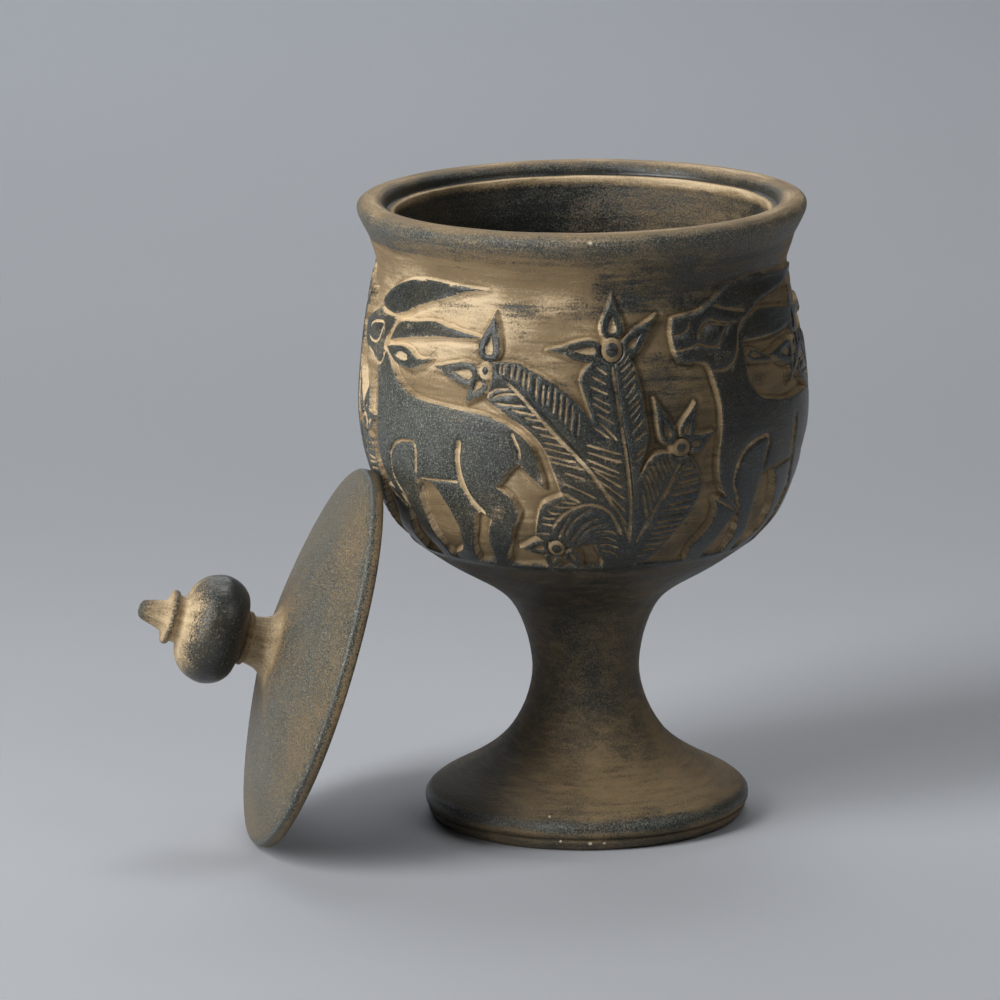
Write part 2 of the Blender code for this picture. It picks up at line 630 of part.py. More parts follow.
    def build(self, mesh):
        """Triangles of the whole band, added to a mesh."""
        plane = [self.sheet.to_plane(point) for point in self.points]
        found, _, faces, _, _, _ = delaunay_2d_cdt(plane, self.edges, [], 0, 1e-4)
        flat = np.array([self.sheet.from_plane(point) for point in found])
        deep = self.depths(flat)
        verts = [mesh.verts.new(self.sheet.on_bowl(point, sunk)) for point, sunk in zip(flat, deep)]
        for face in faces:
            if flat[list(face), 1].max() > 0.5 * BAND_EDGE:
                mesh.faces.new([verts[corner] for corner in face])


def carve_frieze(mesh, outline):
    sheet = Sheet(outline)
    carving = Carving(sheet)
    rings, grooves = [], []
    for turned in PLANT_TURNS:
        raised, plant_rings = plant_shapes(sheet, turned)
        carving.raised += raised
        rings += plant_rings
    for antelope in ANTELOPES:
        raised, lines = antelope_shapes(sheet, antelope)
        carving.raised += raised
        grooves += lines
    carving.add_borders()
    carving.add_shapes()
    for width, line in grooves:
        carving.add_groove(line, width)
    for centre, half_width, half_height in rings:
        carving.add_flower_ring(centre, half_width, half_height)
    carving.add_rows()
    carving.build(mesh)


# Pieces

def stone_material():
    material = bpy.data.materials.new("soapstone")
    material.use_nodes = True
    shader = material.node_tree.nodes["Principled BSDF"]
    shader.inputs["Base Color"].default_value = STONE
    shader.inputs["Roughness"].default_value = 0.42
    shader.inputs["Metallic"].default_value = 0.0
    return material


def add_piece(name, mesh, material):
    bmesh.ops.remove_doubles(mesh, verts=mesh.verts, dist=2e-6)
    bmesh.ops.recalc_face_normals(mesh, faces=mesh.faces)
    data = bpy.data.meshes.new(name)
    mesh.to_mesh(data)
    mesh.free()
    data.materials.append(material)
    piece = bpy.data.objects.new(name, data)
    bpy.context.scene.collection.objects.link(piece)
    return piece


def make_vase(material):
    outline = band_curve()
    mesh = bmesh.new()
    bottom, stem_top = turn(mesh, foot_and_stem(), TURNS)
    cap(mesh, bottom, 0.0)
    band_low = ring(mesh, *outline[0], TURNS)
    join_rings(mesh, stem_top, band_low)
    carve_frieze(mesh, outline)
    upper = [tuple(outline[-1])] + lip_and_seat() + hollow()
    _, floor_edge = turn(mesh, upper, TURNS)
    cap(mesh, floor_edge, BOWL_FLOOR_HEIGHT)
    return add_piece("vase", mesh, material)


def lid_outline():
    """Radius and height of the lid's edge and dome, and of its knob, from its flat underside."""
    chamfer = LID_EDGE_CHAMFER
    disc = [
        (LID_RADIUS - chamfer, 0.0),
        (LID_RADIUS, chamfer),
        (LID_RADIUS, LID_EDGE - chamfer),
        (LID_RADIUS - chamfer, LID_EDGE),
    ]
    reach = LID_RADIUS - chamfer - KNOB_BASE_RADIUS
    for share in (0.05, 0.16, 0.36, 0.66):
        rise = LID_DOME_RISE * share ** LID_DOME_CURVE
        disc.append((LID_RADIUS - chamfer - share * reach, LID_EDGE + rise))
    base = LID_EDGE + LID_DOME_RISE
    neck_top = base + KNOB_NECK_LENGTH
    ball_bottom = neck_top + KNOB_RING_LENGTH
    ball_top = ball_bottom + KNOB_BALL_LENGTH
    collar_bottom = ball_top + KNOB_HOLLOW_LENGTH
    collar_top = collar_bottom + KNOB_COLLAR_LENGTH
    top = collar_top + KNOB_TIP_LENGTH
    knob = [
        (KNOB_BASE_RADIUS, base),
        (between(KNOB_NECK_RADIUS, KNOB_BASE_RADIUS, 0.45), between(base, neck_top, 0.33)),
        (KNOB_NECK_RADIUS, neck_top),
        (KNOB_RING_RADIUS, neck_top + 0.3 * KNOB_RING_LENGTH),
        (KNOB_RING_RADIUS, ball_bottom),
    ]
    for share in (0.06, 0.24, 0.47, 0.7, 0.88, 1.0):
        across = (share - 0.47) / 0.61
        knob.append((KNOB_BALL_RADIUS * math.sqrt(1 - across ** 2), between(ball_bottom, ball_top, share)))
    knob += [
        (KNOB_HOLLOW_RADIUS, between(ball_top, collar_bottom, 0.75)),
        (KNOB_COLLAR_RADIUS, between(collar_bottom, collar_top, 0.25)),
        (KNOB_COLLAR_RADIUS, between(collar_bottom, collar_top, 0.75)),
        (KNOB_TIP_BASE_RADIUS, collar_top),
        (between(KNOB_TIP_RADIUS, KNOB_TIP_BASE_RADIUS, 0.45), between(collar_top, top, 0.35)),
        (KNOB_TIP_RADIUS, top - 0.7 * KNOB_TIP_RADIUS),
        (0.6 * KNOB_TIP_RADIUS, top - 0.15 * KNOB_TIP_RADIUS),
    ]
    return disc, knob, top


def lid_placement(slide):
    """The lid's matrix: leaning, its lowest edge on the floor, its middle moved out along its facing."""
    facing = Vector((math.cos(LID_FACING), math.sin(LID_FACING), 0.0))
    sideways = Vector((-facing.y, facing.x, 0.0))
    axis = facing * math.cos(LID_LEAN) + Vector((0.0, 0.0, math.sin(LID_LEAN)))
    across = sideways.cross(axis)
    turned = Matrix((across, sideways, axis)).transposed().to_4x4()
    by_face = (LID_RADIUS - LID_EDGE_CHAMFER) * math.cos(LID_LEAN)
    by_side = LID_RADIUS * math.cos(LID_LEAN) - LID_EDGE_CHAMFER * math.sin(LID_LEAN)
    place = facing * slide + sideways * LID_SIDE_SHIFT + Vector((0.0, 0.0, max(by_face, by_side)))
    return Matrix.Translation(place) @ turned


def resting_place(outline):
    """Slides the lid towards the vase until only the rest gap is left, and returns its matrix."""
    angles = np.radians(np.arange(360))
    points = []
    for share in (0.25, 0.5, 0.75):
        points.append((share * LID_RADIUS, 0.0))
    points += lid_outline()[0][:4]
    rings = [np.stack([r * np.cos(angles), r * np.sin(angles), np.full(360, h)], axis=1) for r, h in points]
    lid = np.vstack(rings)
    slide = BELLY_RADIUS + 2 * LID_RADIUS
    gap = slide
    while gap - REST_GAP > REST_GAP / 100:
        matrix = np.array(lid_placement(slide))
        placed = lid @ matrix[:3, :3].T + matrix[:3, 3]
        turned = np.stack([np.hypot(placed[:, 0], placed[:, 1]), placed[:, 2]], axis=1)
        gap = distance(turned, outline, False).min()
        slide -= gap - REST_GAP
    return lid_placement(slide)


def make_lid(material):
    disc, knob, top = lid_outline()
    mesh = bmesh.new()
    underside, dome_edge = turn(mesh, disc, TURNS)
    cap(mesh, underside, 0.0)
    knob_base, tip = turn(mesh, knob, KNOB_TURNS)
    join_rings(mesh, dome_edge, knob_base)
    cap(mesh, tip, top)
    return add_piece("lid", mesh, material)


def main():
    clear_scene()
    stone = stone_material()
    make_vase(stone)
    lid = make_lid(stone)
    outside = np.vstack([foot_and_stem(), band_curve(), lip_and_seat()])
    lid.data.transform(resting_place(outside))


if __name__ == "__main__":
    main()
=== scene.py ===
"""Looks of the carved soapstone goblet and its leaning lid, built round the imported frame."""

import math

import bpy
import numpy as np
from bpy.props import FloatProperty, FloatVectorProperty, IntProperty, PointerProperty
from mathutils import Matrix, Vector


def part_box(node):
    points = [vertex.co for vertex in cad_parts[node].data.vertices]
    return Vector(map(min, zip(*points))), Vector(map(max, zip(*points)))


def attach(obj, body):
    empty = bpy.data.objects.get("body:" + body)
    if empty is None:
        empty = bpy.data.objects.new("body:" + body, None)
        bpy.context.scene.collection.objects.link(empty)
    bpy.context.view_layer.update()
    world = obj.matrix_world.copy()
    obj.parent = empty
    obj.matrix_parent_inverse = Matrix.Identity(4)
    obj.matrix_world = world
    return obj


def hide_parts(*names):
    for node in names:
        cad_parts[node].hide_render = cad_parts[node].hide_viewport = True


bl_info = {
    "name": "Carved soapstone vase",
    "version": (1, 0, 0),
    "blender": (4, 5, 0),
    "location": "3D View > Sidebar > Stone vase",
    "description": "A turned and carved stone goblet with a plant and antelope frieze, and its lid",
    "category": "Add Mesh",
}

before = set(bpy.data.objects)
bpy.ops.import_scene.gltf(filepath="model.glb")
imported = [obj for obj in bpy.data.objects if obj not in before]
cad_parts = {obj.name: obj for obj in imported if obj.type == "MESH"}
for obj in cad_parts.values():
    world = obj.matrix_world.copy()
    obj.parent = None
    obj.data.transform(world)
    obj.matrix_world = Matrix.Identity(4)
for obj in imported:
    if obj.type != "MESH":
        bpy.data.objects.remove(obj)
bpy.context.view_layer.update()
VASE_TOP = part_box("vase")[1][2]

MM = 0.001

# Carved band, in metres and as in the solid
BAND_BOTTOM = 0.120
BAND_TOP = 0.245
BELLY_HEIGHT = 0.177
NECK_HEIGHT = 0.2345
BAND_BOTTOM_RADIUS = 0.0722
BELLY_RADIUS = 0.0926
NECK_RADIUS = 0.0848
LIP_RADIUS = 0.0920
FLARE_START = 0.3

# Turned outline below the band and above it, fitted to the solid: height and radius in millimetres
FOOT_EDGE = ((0.0, 60.5), (0.0, 62.4), (1.6, 64.6), (3.6, 65.9), (4.6, 65.6), (5.0, 65.1), (5.4, 65.8), (6.6, 66.9),
             (8.4, 67.2), (10.2, 66.9))
FOOT_AND_STEM = ((12.0, 65.6), (15.0, 61.9), (18.0, 56.6), (21.0, 50.9), (25.0, 44.3), (29.0, 38.6), (34.0, 33.3),
                 (40.0, 29.0), (47.0, 25.4), (55.0, 22.9), (63.0, 22.0), (72.0, 23.1), (80.0, 25.2), (88.0, 28.6),
                 (94.0, 33.2), (99.0, 39.6), (103.0, 46.3), (107.0, 53.3), (111.0, 59.6), (115.0, 65.2))
LIP = ((250.8, 90.0), (254.6, 91.7), (256.9, 92.0), (258.6, 91.2), (259.8, 89.3), (260.0, 87.4), (259.9, 84.9),
       (259.2, 82.4), (258.0, 81.0))
SEAT_STEPS = ((257.2, 80.5), (255.1, 80.3), (254.8, 79.6), (254.6, 77.3), (254.1, 76.6))
INNER_WALL = ((250.0, 77.1), (246.9, 76.6), (234.6, 75.6), (223.6, 77.5), (201.7, 81.0), (176.8, 82.9), (161.5, 81.6),
              (147.7, 77.8), (135.1, 71.6), (126.8, 64.6), (121.6, 58.3), (115.0, 49.0), (109.6, 38.0), (108.0, 31.0))

# The lid, in metres: a disc with a domed top; and its knob in millimetres: radius and height
LID_RADIUS = 0.0800
LID_EDGE = 0.0050
LID_DOME_RISE = 0.0164
LID_DOME_CURVE = 0.71
# Where the dome's outline has its points, as shares of the way from the edge to the knob
DOME_SHARES = (0.012, 0.04, 0.08, 0.13, 0.2, 0.28, 0.37, 0.46, 0.55, 0.64, 0.73, 0.82, 0.88, 0.93, 0.965)
KNOB = ((15.0, 21.4), (12.4, 23.2), (10.7, 26.0), (9.9, 30.2), (10.0, 30.9), (10.9, 31.5), (11.2, 32.4), (10.9, 33.3),
        (10.3, 33.9), (13.8, 34.5), (17.5, 35.9), (20.7, 39.2), (22.4, 43.6), (22.5, 47.4), (21.0, 52.0), (18.2, 55.7),
        (14.6, 58.1), (11.4, 58.9), (9.8, 60.0), (9.7, 61.8), (10.0, 62.9), (10.9, 63.2), (11.3, 64.3), (10.9, 65.5),
        (9.8, 65.9), (7.6, 66.1), (6.2, 68.0), (5.3, 71.0), (4.4, 74.4), (3.5, 76.6), (1.9, 77.5))
LID_LEAN = math.radians(18.7)
LID_FACING = math.radians(-171.0)
LID_EDGE_CHAMFER = 0.0005

# The frieze, on a drawing: degrees of turn to the right and millimetres above the band's lower edge
DRAWING_HEIGHT = 125.0
PLANT_TURNS = (-87.0, 13.0, 111.0, 213.0)
PLANT_ROOT = 13.0
# Turn of each antelope in degrees, and which of the two heads and backs it has
ANTELOPES = ((-65.0, 0), (37.0, 1), (135.0, 0))

BODY = (
    (-2.3, 81.5), (-1.0, 75.0), (0.0, 68.0), (0.2, 59.0), (-0.4, 51.0), (-0.6, 43.0), (0.4, 36.0),
    (2.2, 31.0), (5.0, 27.0), (8.0, 26.0), (10.3, 20.0), (11.7, 12.0), (12.8, 6.0), (12.3, -2.0),
    (17.5, -2.0), (17.5, 7.0), (16.2, 15.0), (15.5, 25.0), (16.0, 35.3), (22.0, 35.0), (24.2, 30.0),
    (26.5, 23.0), (27.7, 17.0), (27.2, 11.0), (25.5, 6.0), (21.0, 3.0), (20.5, -2.0), (29.0, -2.0),
    (29.7, 4.5), (31.0, 10.0), (33.0, 17.0), (34.3, 23.0), (36.0, 24.3), (39.3, 21.8), (37.7, 17.0),
    (36.7, 11.0), (36.5, 5.0), (34.5, -2.0), (40.5, -2.0), (41.3, 5.0), (43.0, 10.0), (44.3, 15.5),
    (46.0, 21.0), (47.4, 25.5), (45.5, 32.0), (41.8, 36.2), (43.5, 39.0), (46.0, 44.0), (48.6, 47.0),
    (50.0, 44.0), (52.5, 40.0), (54.8, 36.5), (54.3, 42.0), (53.3, 48.0), (51.8, 54.0), (49.5, 58.0),
    (46.5, 61.5),
)
# The line of the back from the rump to the neck
BACKS = (
    ((43.0, 63.8), (38.0, 66.0), (30.0, 67.3), (20.0, 68.5), (15.0, 69.7), (11.0, 72.5), (7.0, 78.0), (4.5, 83.0),
     (0.0, 86.0)),
    ((43.0, 62.6), (38.0, 63.0), (28.0, 62.8), (18.8, 65.1), (14.2, 67.6), (11.3, 71.5), (10.1, 75.9), (9.5, 80.4),
     (0.0, 86.0)),
)
FAR_FORELEG = (
    (-0.5, 28.0), (1.0, 24.0), (0.8, 18.0), (-1.0, 13.0), (-3.5, 8.0), (-3.3, -2.0), (2.5, -2.0),
    (3.5, 6.0), (5.5, 12.0), (7.6, 17.0), (9.0, 21.0), (6.0, 27.5),
)
# Head, upper horn, lower horn and ear
HEADS = (
    (
        ((-14.7, 93.3), (-14.8, 88.7), (-13.3, 84.4), (-8.7, 81.8), (-4.9, 80.5), (-0.7, 80.5), (1.0, 83.0),
         (1.6, 87.4), (2.4, 90.4), (4.9, 94.5), (6.9, 98.3), (3.1, 98.7), (-0.5, 99.0), (-3.7, 100.5), (-8.8, 97.4)),
        ((-2.8, 103.7), (-1.2, 106.6), (2.9, 110.8), (7.7, 113.6), (13.2, 115.6), (19.7, 116.7), (25.3, 116.2),
         (30.6, 115.6), (38.5, 115.2), (31.8, 113.9), (26.9, 111.4), (21.0, 108.5), (15.1, 105.6), (10.2, 102.2),
         (5.6, 100.3), (1.1, 100.6), (-1.8, 101.9)),
        ((4.3, 89.3), (5.7, 92.8), (8.2, 97.6), (14.0, 99.0), (19.4, 100.3), (22.9, 100.4), (27.7, 99.1), (32.7, 97.8),
         (37.3, 96.5), (30.4, 95.5), (25.3, 95.0), (18.5, 93.7), (12.3, 92.2), (7.1, 90.6)),
        ((2.7, 86.6), (6.2, 87.6), (10.3, 88.3), (13.8, 87.3), (16.2, 84.9), (18.8, 84.6), (22.3, 85.6), (17.7, 81.7),
         (13.2, 80.2), (8.7, 81.1), (5.5, 83.4)),
    ),
    (
        ((-12.6, 103.8), (-13.3, 99.0), (-13.0, 94.0), (-12.3, 90.0), (-11.0, 86.8), (-8.0, 86.0), (-4.0, 85.0),
         (-2.3, 82.0), (0.0, 78.0), (5.0, 77.0), (9.8, 80.0), (9.3, 85.0), (9.3, 90.0), (10.0, 95.0), (12.0, 99.5),
         (13.0, 102.0), (8.0, 105.5), (3.0, 107.5), (-0.5, 108.3), (-2.8, 106.8), (-5.0, 105.2), (-9.0, 104.6)),
        ((-0.5, 108.2), (3.0, 111.5), (7.0, 114.0), (12.0, 115.2), (19.0, 115.0), (30.0, 113.8), (50.0, 112.5),
         (34.0, 109.0), (19.0, 105.8), (13.0, 101.5), (6.0, 103.0)),
        ((8.0, 91.5), (9.0, 97.0), (12.0, 100.0), (15.0, 101.2), (19.0, 101.8), (27.0, 100.5), (47.0, 96.0),
         (30.0, 91.3), (19.0, 90.7)),
        ((9.8, 85.0), (10.6, 86.6), (13.0, 86.8), (16.0, 84.8), (21.0, 80.5), (15.0, 81.6), (11.6, 82.6), (10.0, 83.6)),
    ),
)
# Lines cut into the body and the head: width and depth in millimetres, then the points
BODY_GROOVES = (
    (2.0, 1.1, ((9.0, 25.0), (5.9, 32.0), (5.4, 38.0), (6.5, 44.0), (9.2, 48.3), (13.0, 50.5), (17.3, 49.5),
                (16.3, 37.0))),
    (1.6, 0.9, ((17.5, 35.7), (31.0, 37.0))),
    (3.4, 1.7, ((32.2, 55.0), (31.3, 46.0), (32.0, 37.0), (34.0, 29.5), (37.5, 23.4))),
    (1.6, 0.9, ((46.8, 59.5), (48.6, 53.0), (48.8, 48.6))),
    (1.6, 0.9, ((-0.2, 28.3), (4.0, 24.5), (8.0, 21.0))),
)
HEAD_GROOVES = (
    (
        (1.2, 0.8, ((-10.2, 87.7), (-9.2, 92.5), (-4.6, 94.7), (-0.4, 95.1), (-1.1, 91.0), (-2.5, 87.5), (-5.8, 86.1),
                    (-10.1, 86.9), (-10.2, 87.7))),
        (1.4, 0.9, ((7.6, 98.5), (4.9, 94.5), (2.9, 90.5), (2.3, 87.6), (2.2, 84.1), (1.2, 80.3), (-0.3, 78.7),
                    (-3.3, 79.0), (-5.4, 81.2), (-10.2, 82.9))),
        (2.0, 1.4, ((-4.9, 102.6), (-3.6, 101.4), (-1.7, 100.2), (1.9, 99.6), (6.7, 99.2))),
    ),
    (
        (1.6, 0.9, ((12.5, 100.3), (10.0, 99.0), (8.3, 96.0), (7.5, 92.0), (6.8, 88.0), (5.5, 84.0), (3.0, 81.5),
                    (0.5, 81.0), (-2.2, 81.5))),
        (1.2, 0.8, ((-13.0, 91.0), (-10.0, 91.3), (-7.5, 92.0), (-6.0, 92.7), (-4.0, 91.8), (-1.5, 90.8), (0.3, 91.2),
                    (1.5, 93.5), (3.0, 96.5), (4.5, 98.8), (8.0, 99.5))),
        (1.1, 0.7, ((-5.7, 94.5), (-4.5, 97.5), (-3.0, 99.8), (-1.0, 100.0), (1.0, 99.5), (3.0, 98.7), (5.0, 98.8))),
        (1.0, 0.6, ((-6.0, 95.0), (-5.0, 98.5), (-3.0, 101.5), (-1.0, 101.5), (1.0, 100.5), (5.0, 99.5))),
        (1.1, 0.7, ((-13.0, 97.0), (-10.5, 97.2), (-9.0, 98.5), (-8.2, 100.0), (-8.0, 101.8))),
        (1.6, 0.9, ((0.3, 107.0), (5.0, 104.8), (11.5, 102.6))),
    ),
)
EAR_RECESSES = (
    ((7.4, 84.6), (10.0, 86.2), (12.9, 85.4), (13.3, 83.5), (11.5, 82.5), (7.9, 83.2)),
    ((11.3, 84.9), (12.8, 85.6), (14.8, 84.4), (15.6, 83.0), (13.0, 83.3)),
)
EAR_DEPTH = 1.0

# Outline of each leaf of a plant
LEAF_OUTLINES = (
    ((-37.0, 87.0), (-31.0, 87.4), (-26.6, 84.9), (-22.7, 81.7), (-18.8, 77.5), (-15.8, 74.0), (-12.6, 68.4),
     (-9.6, 61.5), (-5.3, 44.8), (-1.0, 10.0), (-9.0, 23.4), (-17.2, 31.0), (-20.0, 40.9), (-22.4, 52.0),
     (-26.9, 60.8), (-33.9, 67.8), (-38.0, 72.0), (-37.2, 79.8)),
    ((-8.1, 90.3), (-11.2, 87.7), (-13.4, 83.0), (-13.3, 78.7), (-12.1, 72.3), (-10.7, 64.5), (-5.1, 32.0),
     (-2.3, 9.3), (1.4, 8.0), (0.9, 40.1), (2.0, 49.2), (3.1, 58.0), (2.4, 67.5), (0.9, 81.9), (-1.6, 91.9)),
    ((11.0, 49.0), (6.4, 50.5), (3.6, 48.2), (1.8, 43.0), (-0.6, 36.0), (-0.9, 6.8), (2.1, 0.7), (5.9, 2.4),
     (10.3, 10.1), (15.8, 22.3), (18.0, 28.9), (18.5, 34.9), (17.5, 40.6), (14.0, 48.2)),
    ((-16.0, 34.5), (-22.6, 31.3), (-24.6, 27.7), (-25.8, 21.4), (-26.5, 15.8), (-22.0, 12.0), (-15.5, 10.2),
     (-13.8, 12.1), (-11.5, 12.5), (-10.1, 12.0), (-8.6, 6.8), (-7.2, 3.2), (-2.0, 4.0), (-1.0, 13.8), (-4.7, 25.4),
     (-11.6, 32.3)),
)
# Each leaf's midrib from the root to the flower
MIDRIBS = (
    ((-1.1, 10.1), (-3.6, 23.1), (-8.5, 37.0), (-13.0, 47.2), (-18.9, 57.0), (-24.8, 67.4), (-31.2, 77.7),
     (-36.7, 83.0)),
    ((0.0, 6.7), (-0.6, 18.3), (-1.0, 31.7), (-2.0, 44.6), (-2.8, 54.6), (-3.7, 65.2), (-4.6, 75.2), (-5.4, 85.1),
     (-5.6, 90.0)),
    ((0.2, 7.0), (2.9, 16.6), (6.5, 28.2), (9.7, 38.2), (12.4, 48.4)),
    ((-2.0, 11.0), (-3.6, 18.6), (-6.9, 26.9), (-11.6, 30.1), (-16.2, 28.0), (-20.0, 23.5), (-22.4, 17.0)),
)
ROOT_BLOCK = ((-8.0, -2.0), (-7.2, 3.2), (-4.3, 9.0), (2.0, 8.0), (2.8, 3.0), (3.1, -2.0), (-2.5, -2.0))
# Each flower: its centre, half width and half height, and its petals' bases, tips and half widths
FLOWERS = (
    ((-38.7, 83.6), (3.2, 3.9), (
        ((-38.4, 87.3), (-36.7, 108.0), 4.9),
        ((-40.7, 81.0), (-55.3, 83.2), 4.9),
        ((-39.2, 80.6), (-44.5, 69.3), 4.4))),
    ((-5.5, 93.0), (4.5, 5.0), (
        ((-8.0, 92.7), (-22.6, 93.1), 4.5),
        ((-5.4, 97.2), (-5.1, 115.0), 4.8),
        ((-2.6, 91.5), (7.0, 106.1), 3.8))),
    ((12.0, 52.0), (4.2, 3.8), (
        ((9.4, 54.0), (5.1, 73.0), 3.4),
        ((12.8, 55.4), (16.5, 69.9), 3.5),
        ((14.3, 51.6), (21.5, 57.2), 3.8))),
    ((-21.1, 9.9), (4.0, 4.3), (
        ((-23.6, 10.4), (-32.2, 9.3), 4.0),
        ((-21.8, 7.0), (-24.6, -2.0), 4.2),
        ((-18.0, 8.8), (-13.4, -2.0), 3.6))),
)
FLOWER_DISCS = (0.40, 0.58, 0.50, 0.55)
# The hollow in a petal: its width as a share of the petal's, where it starts and ends along it, and its depth
PETAL_RECESS = 0.40
PETAL_HOLLOW = (0.12, 0.54)
PETAL_DEPTH = 1.1

# Strokes in the leaves, on the plant in front: turn and height of both ends
LEAF_STROKES = (
    (-21.7, 206.7, -21.7, 202.8), (-20.6, 207, -20.6, 202.5), (-18.5, 207, -18.5, 201.7),
    (-16.9, 206.7, -17.1, 200.5), (-15.2, 205, -15.5, 198.2), (-13.9, 204.4, -14.2, 196.7),
    (-11.8, 202.5, -12.1, 193.2), (-10.1, 200, -10.4, 191.3), (-8.7, 199, -9.2, 191.3),
    (-7.1, 198.2, -7.6, 187.8), (-5.6, 196.3, -6.1, 185.5), (-4.2, 194.8, -4.7, 183.2),
    (-2.8, 191.7, -3.3, 180.2), (-1.1, 188.6, -1.6, 178.6),
    (-22.8, 190.9, -14.4, 190.4),
    (-18.6, 188.8, -12, 187), (-15.2, 185.9, -10.6, 184.8), (-13.3, 182.8, -8.8, 181.3),
    (-11.1, 179.4, -5.9, 177.8), (-10.2, 176.3, -4.2, 174.4), (-10.2, 174, -3, 171.3),
    (-9.4, 170.9, -2, 168.2), (-8.6, 168.6, 0.5, 164.8), (-5.2, 164, 0.3, 160.9),
    (-5.2, 159.4, 3, 152.8), (-6, 155.2, -0.8, 150.5),
    (3, 206.7, 6.1, 203.2), (2, 202.8, 5.9, 199.4), (1.4, 199, 6.4, 195.2), (2.2, 194.8, 6.9, 190.9),
    (2.3, 192, 6.7, 187.8), (3, 188.2, 8, 183.2), (3.6, 184.8, 8.4, 176.7), (2.2, 182.8, 6.4, 177.8),
    (0.5, 175.5, 9.5, 170.9), (0.5, 172.5, 9.8, 167.5), (0.8, 169.4, 9.5, 162.8), (1.4, 166.3, 9.5, 160.5),
    (2.7, 164.4, 9.8, 156.7), (3.6, 160.5, 10.6, 151.7), (4.5, 156.7, 11.1, 145.9), (6.7, 151.3, 11.7, 139.8),
    (9.2, 145, 12.3, 134.4),
    (9.5, 206.3, 12, 211.7), (9.7, 204.4, 12.2, 208.2), (9.8, 200.9, 13.3, 206.3), (9.8, 197.5, 13.4, 203),
    (10.6, 194, 13.1, 199.4), (11.1, 191.3, 13.6, 195.9), (11.4, 189, 14, 192.8), (11.3, 185.9, 14.2, 190.9),
    (11.9, 183.2, 14.2, 188.2), (12.2, 179.8, 14.8, 184.8), (12.7, 176.3, 15.8, 180.5), (13, 170.2, 15.8, 174.4),
    (12.2, 167, 15.8, 172),
    (21.1, 169.8, 22.7, 164.4), (20.2, 169.8, 22.2, 162), (19.2, 168.2, 21.6, 160.5), (18, 167.5, 20.6, 159),
    (16.9, 165.9, 19.8, 155.2), (16.1, 164.4, 19.5, 152), (15.5, 162.8, 18.8, 149), (15.2, 159.8, 18, 145.9),
    (14.8, 155.2, 17, 142),
    (25.2, 162.8, 28.9, 163.6), (24.7, 160.5, 30.2, 161.3), (23.9, 157.5, 30.8, 158.2), (23.1, 154.8, 31, 156.7),
    (22.5, 152, 31, 153.6), (21.3, 147.8, 30.2, 149.4), (20.6, 145.5, 29.5, 146.6), (19.8, 143, 29, 144),
    (19.2, 140.5, 28.3, 141.3), (18.6, 138, 27.6, 139), (18, 135.5, 26.7, 136.7), (17.2, 133, 25.6, 134),
    (16.4, 130.5, 24.5, 131.3), (15.8, 127.8, 22.5, 128.6),
    (-5.9, 151.5, -1.9, 150.2), (-11.7, 141.5, -8.5, 140.7), (-13.2, 136.8, -9.5, 137.0),
    (15.6, 127.9, 21.0, 129.0), (15.3, 125.5, 19.5, 126.4),
)
LEAF_CURVES = (
    ((-4.9, 155.0), (-2.9, 152.8), (-1.1, 151.1)),
    ((-8.1, 149.4), (-5.3, 148.8), (-1.9, 149.3)),
    ((-10.0, 147.4), (-8.2, 146.1), (-5.9, 146.2)),
    ((-11.5, 144.6), (-9.7, 143.8), (-7.5, 144.1)),
    ((-3.8, 144.9), (-5.5, 140.8), (-6.8, 136.6), (-7.2, 134.3)),
    ((2.2, 147.9), (-0.1, 146.6), (-2.8, 143.1), (-4.5, 139.0), (-5.2, 135.3)),
    ((4.4, 143.8), (2.0, 143.0), (-0.1, 141.3), (-2.1, 137.6), (-3.8, 133.0)),
    ((6.5, 141.5), (3.6, 140.7), (0.9, 139.0), (-1.3, 135.3), (-2.8, 131.2)),
    ((2.0, 137.6), (5.0, 138.1), (7.2, 137.8), (9.0, 135.8)),
    ((3.4, 134.8), (6.2, 134.9), (9.1, 133.1)),
    ((4.0, 132.0), (6.9, 131.6), (9.8, 130.0)),
    ((4.7, 129.2), (7.6, 128.1), (10.1, 125.7)),
    ((-24.8, 192.6), (-24.3, 194.7), (-22.7, 196.4), (-20.5, 197.0), (-18.7, 197.0)),
    ((-23.7, 192.7), (-22.1, 194.1), (-19.4, 195.0), (-17.0, 195.0)),
)
# A fine line beside each midrib, and its width and depth
MIDRIB_LINES = (
    ((-20.7, 202.2), (-15.0, 194.7), (-8.8, 185.5), (-2.9, 175.0), (0.0, 169.7)),
    ((7.9, 207.8), (8.5, 199.2), (9.3, 189.2), (10.2, 180.3), (11.2, 170.8), (12.1, 160.3), (12.8, 151.6)),
    ((26.5, 167.2), (23.7, 160.5), (21.1, 152.8), (18.8, 145.7), (16.7, 137.9)),
)
MIDRIB_LINE_SIZE = (0.8, 0.9)
# How much of each midrib is cut, from the root to the flower
MIDRIB_CUTS = ((0.22, 0.93), (0.06, 0.97), (0.12, 0.95), (0.1, 0.97))
# How far the hand strays from a drawn stroke, in degrees and millimetres
HAND_SHIFT = np.array((0.35, 0.5))

# Finish of the carving, in millimetres
# Below the band's top the carving grows to its full depth over this height
FADE_LENGTH = 23.0
# How far the side of a shape starts inside its outline, and how uneven that edge is
SLOPE_IN = 0.16
EDGE_WOBBLE = 0.12
# The ground is sunk deeper close to a shape: how much, how far off and over what width
TRENCH = (0.45, 1.2, 1.3)
# and it swells again further out: how much, from where and over what length
SWELL = (0.35, 2.5, 5.0)
TOOL_MARKS = 0.10
GROUND_WAVES = 0.22
# Where the band's lower edge steps up to the ground, and over what length
LEDGE = (0.4, 2.2)
# How far the figures' edges are rounded down, and over what length
ROUNDING = (0.14, 0.8)

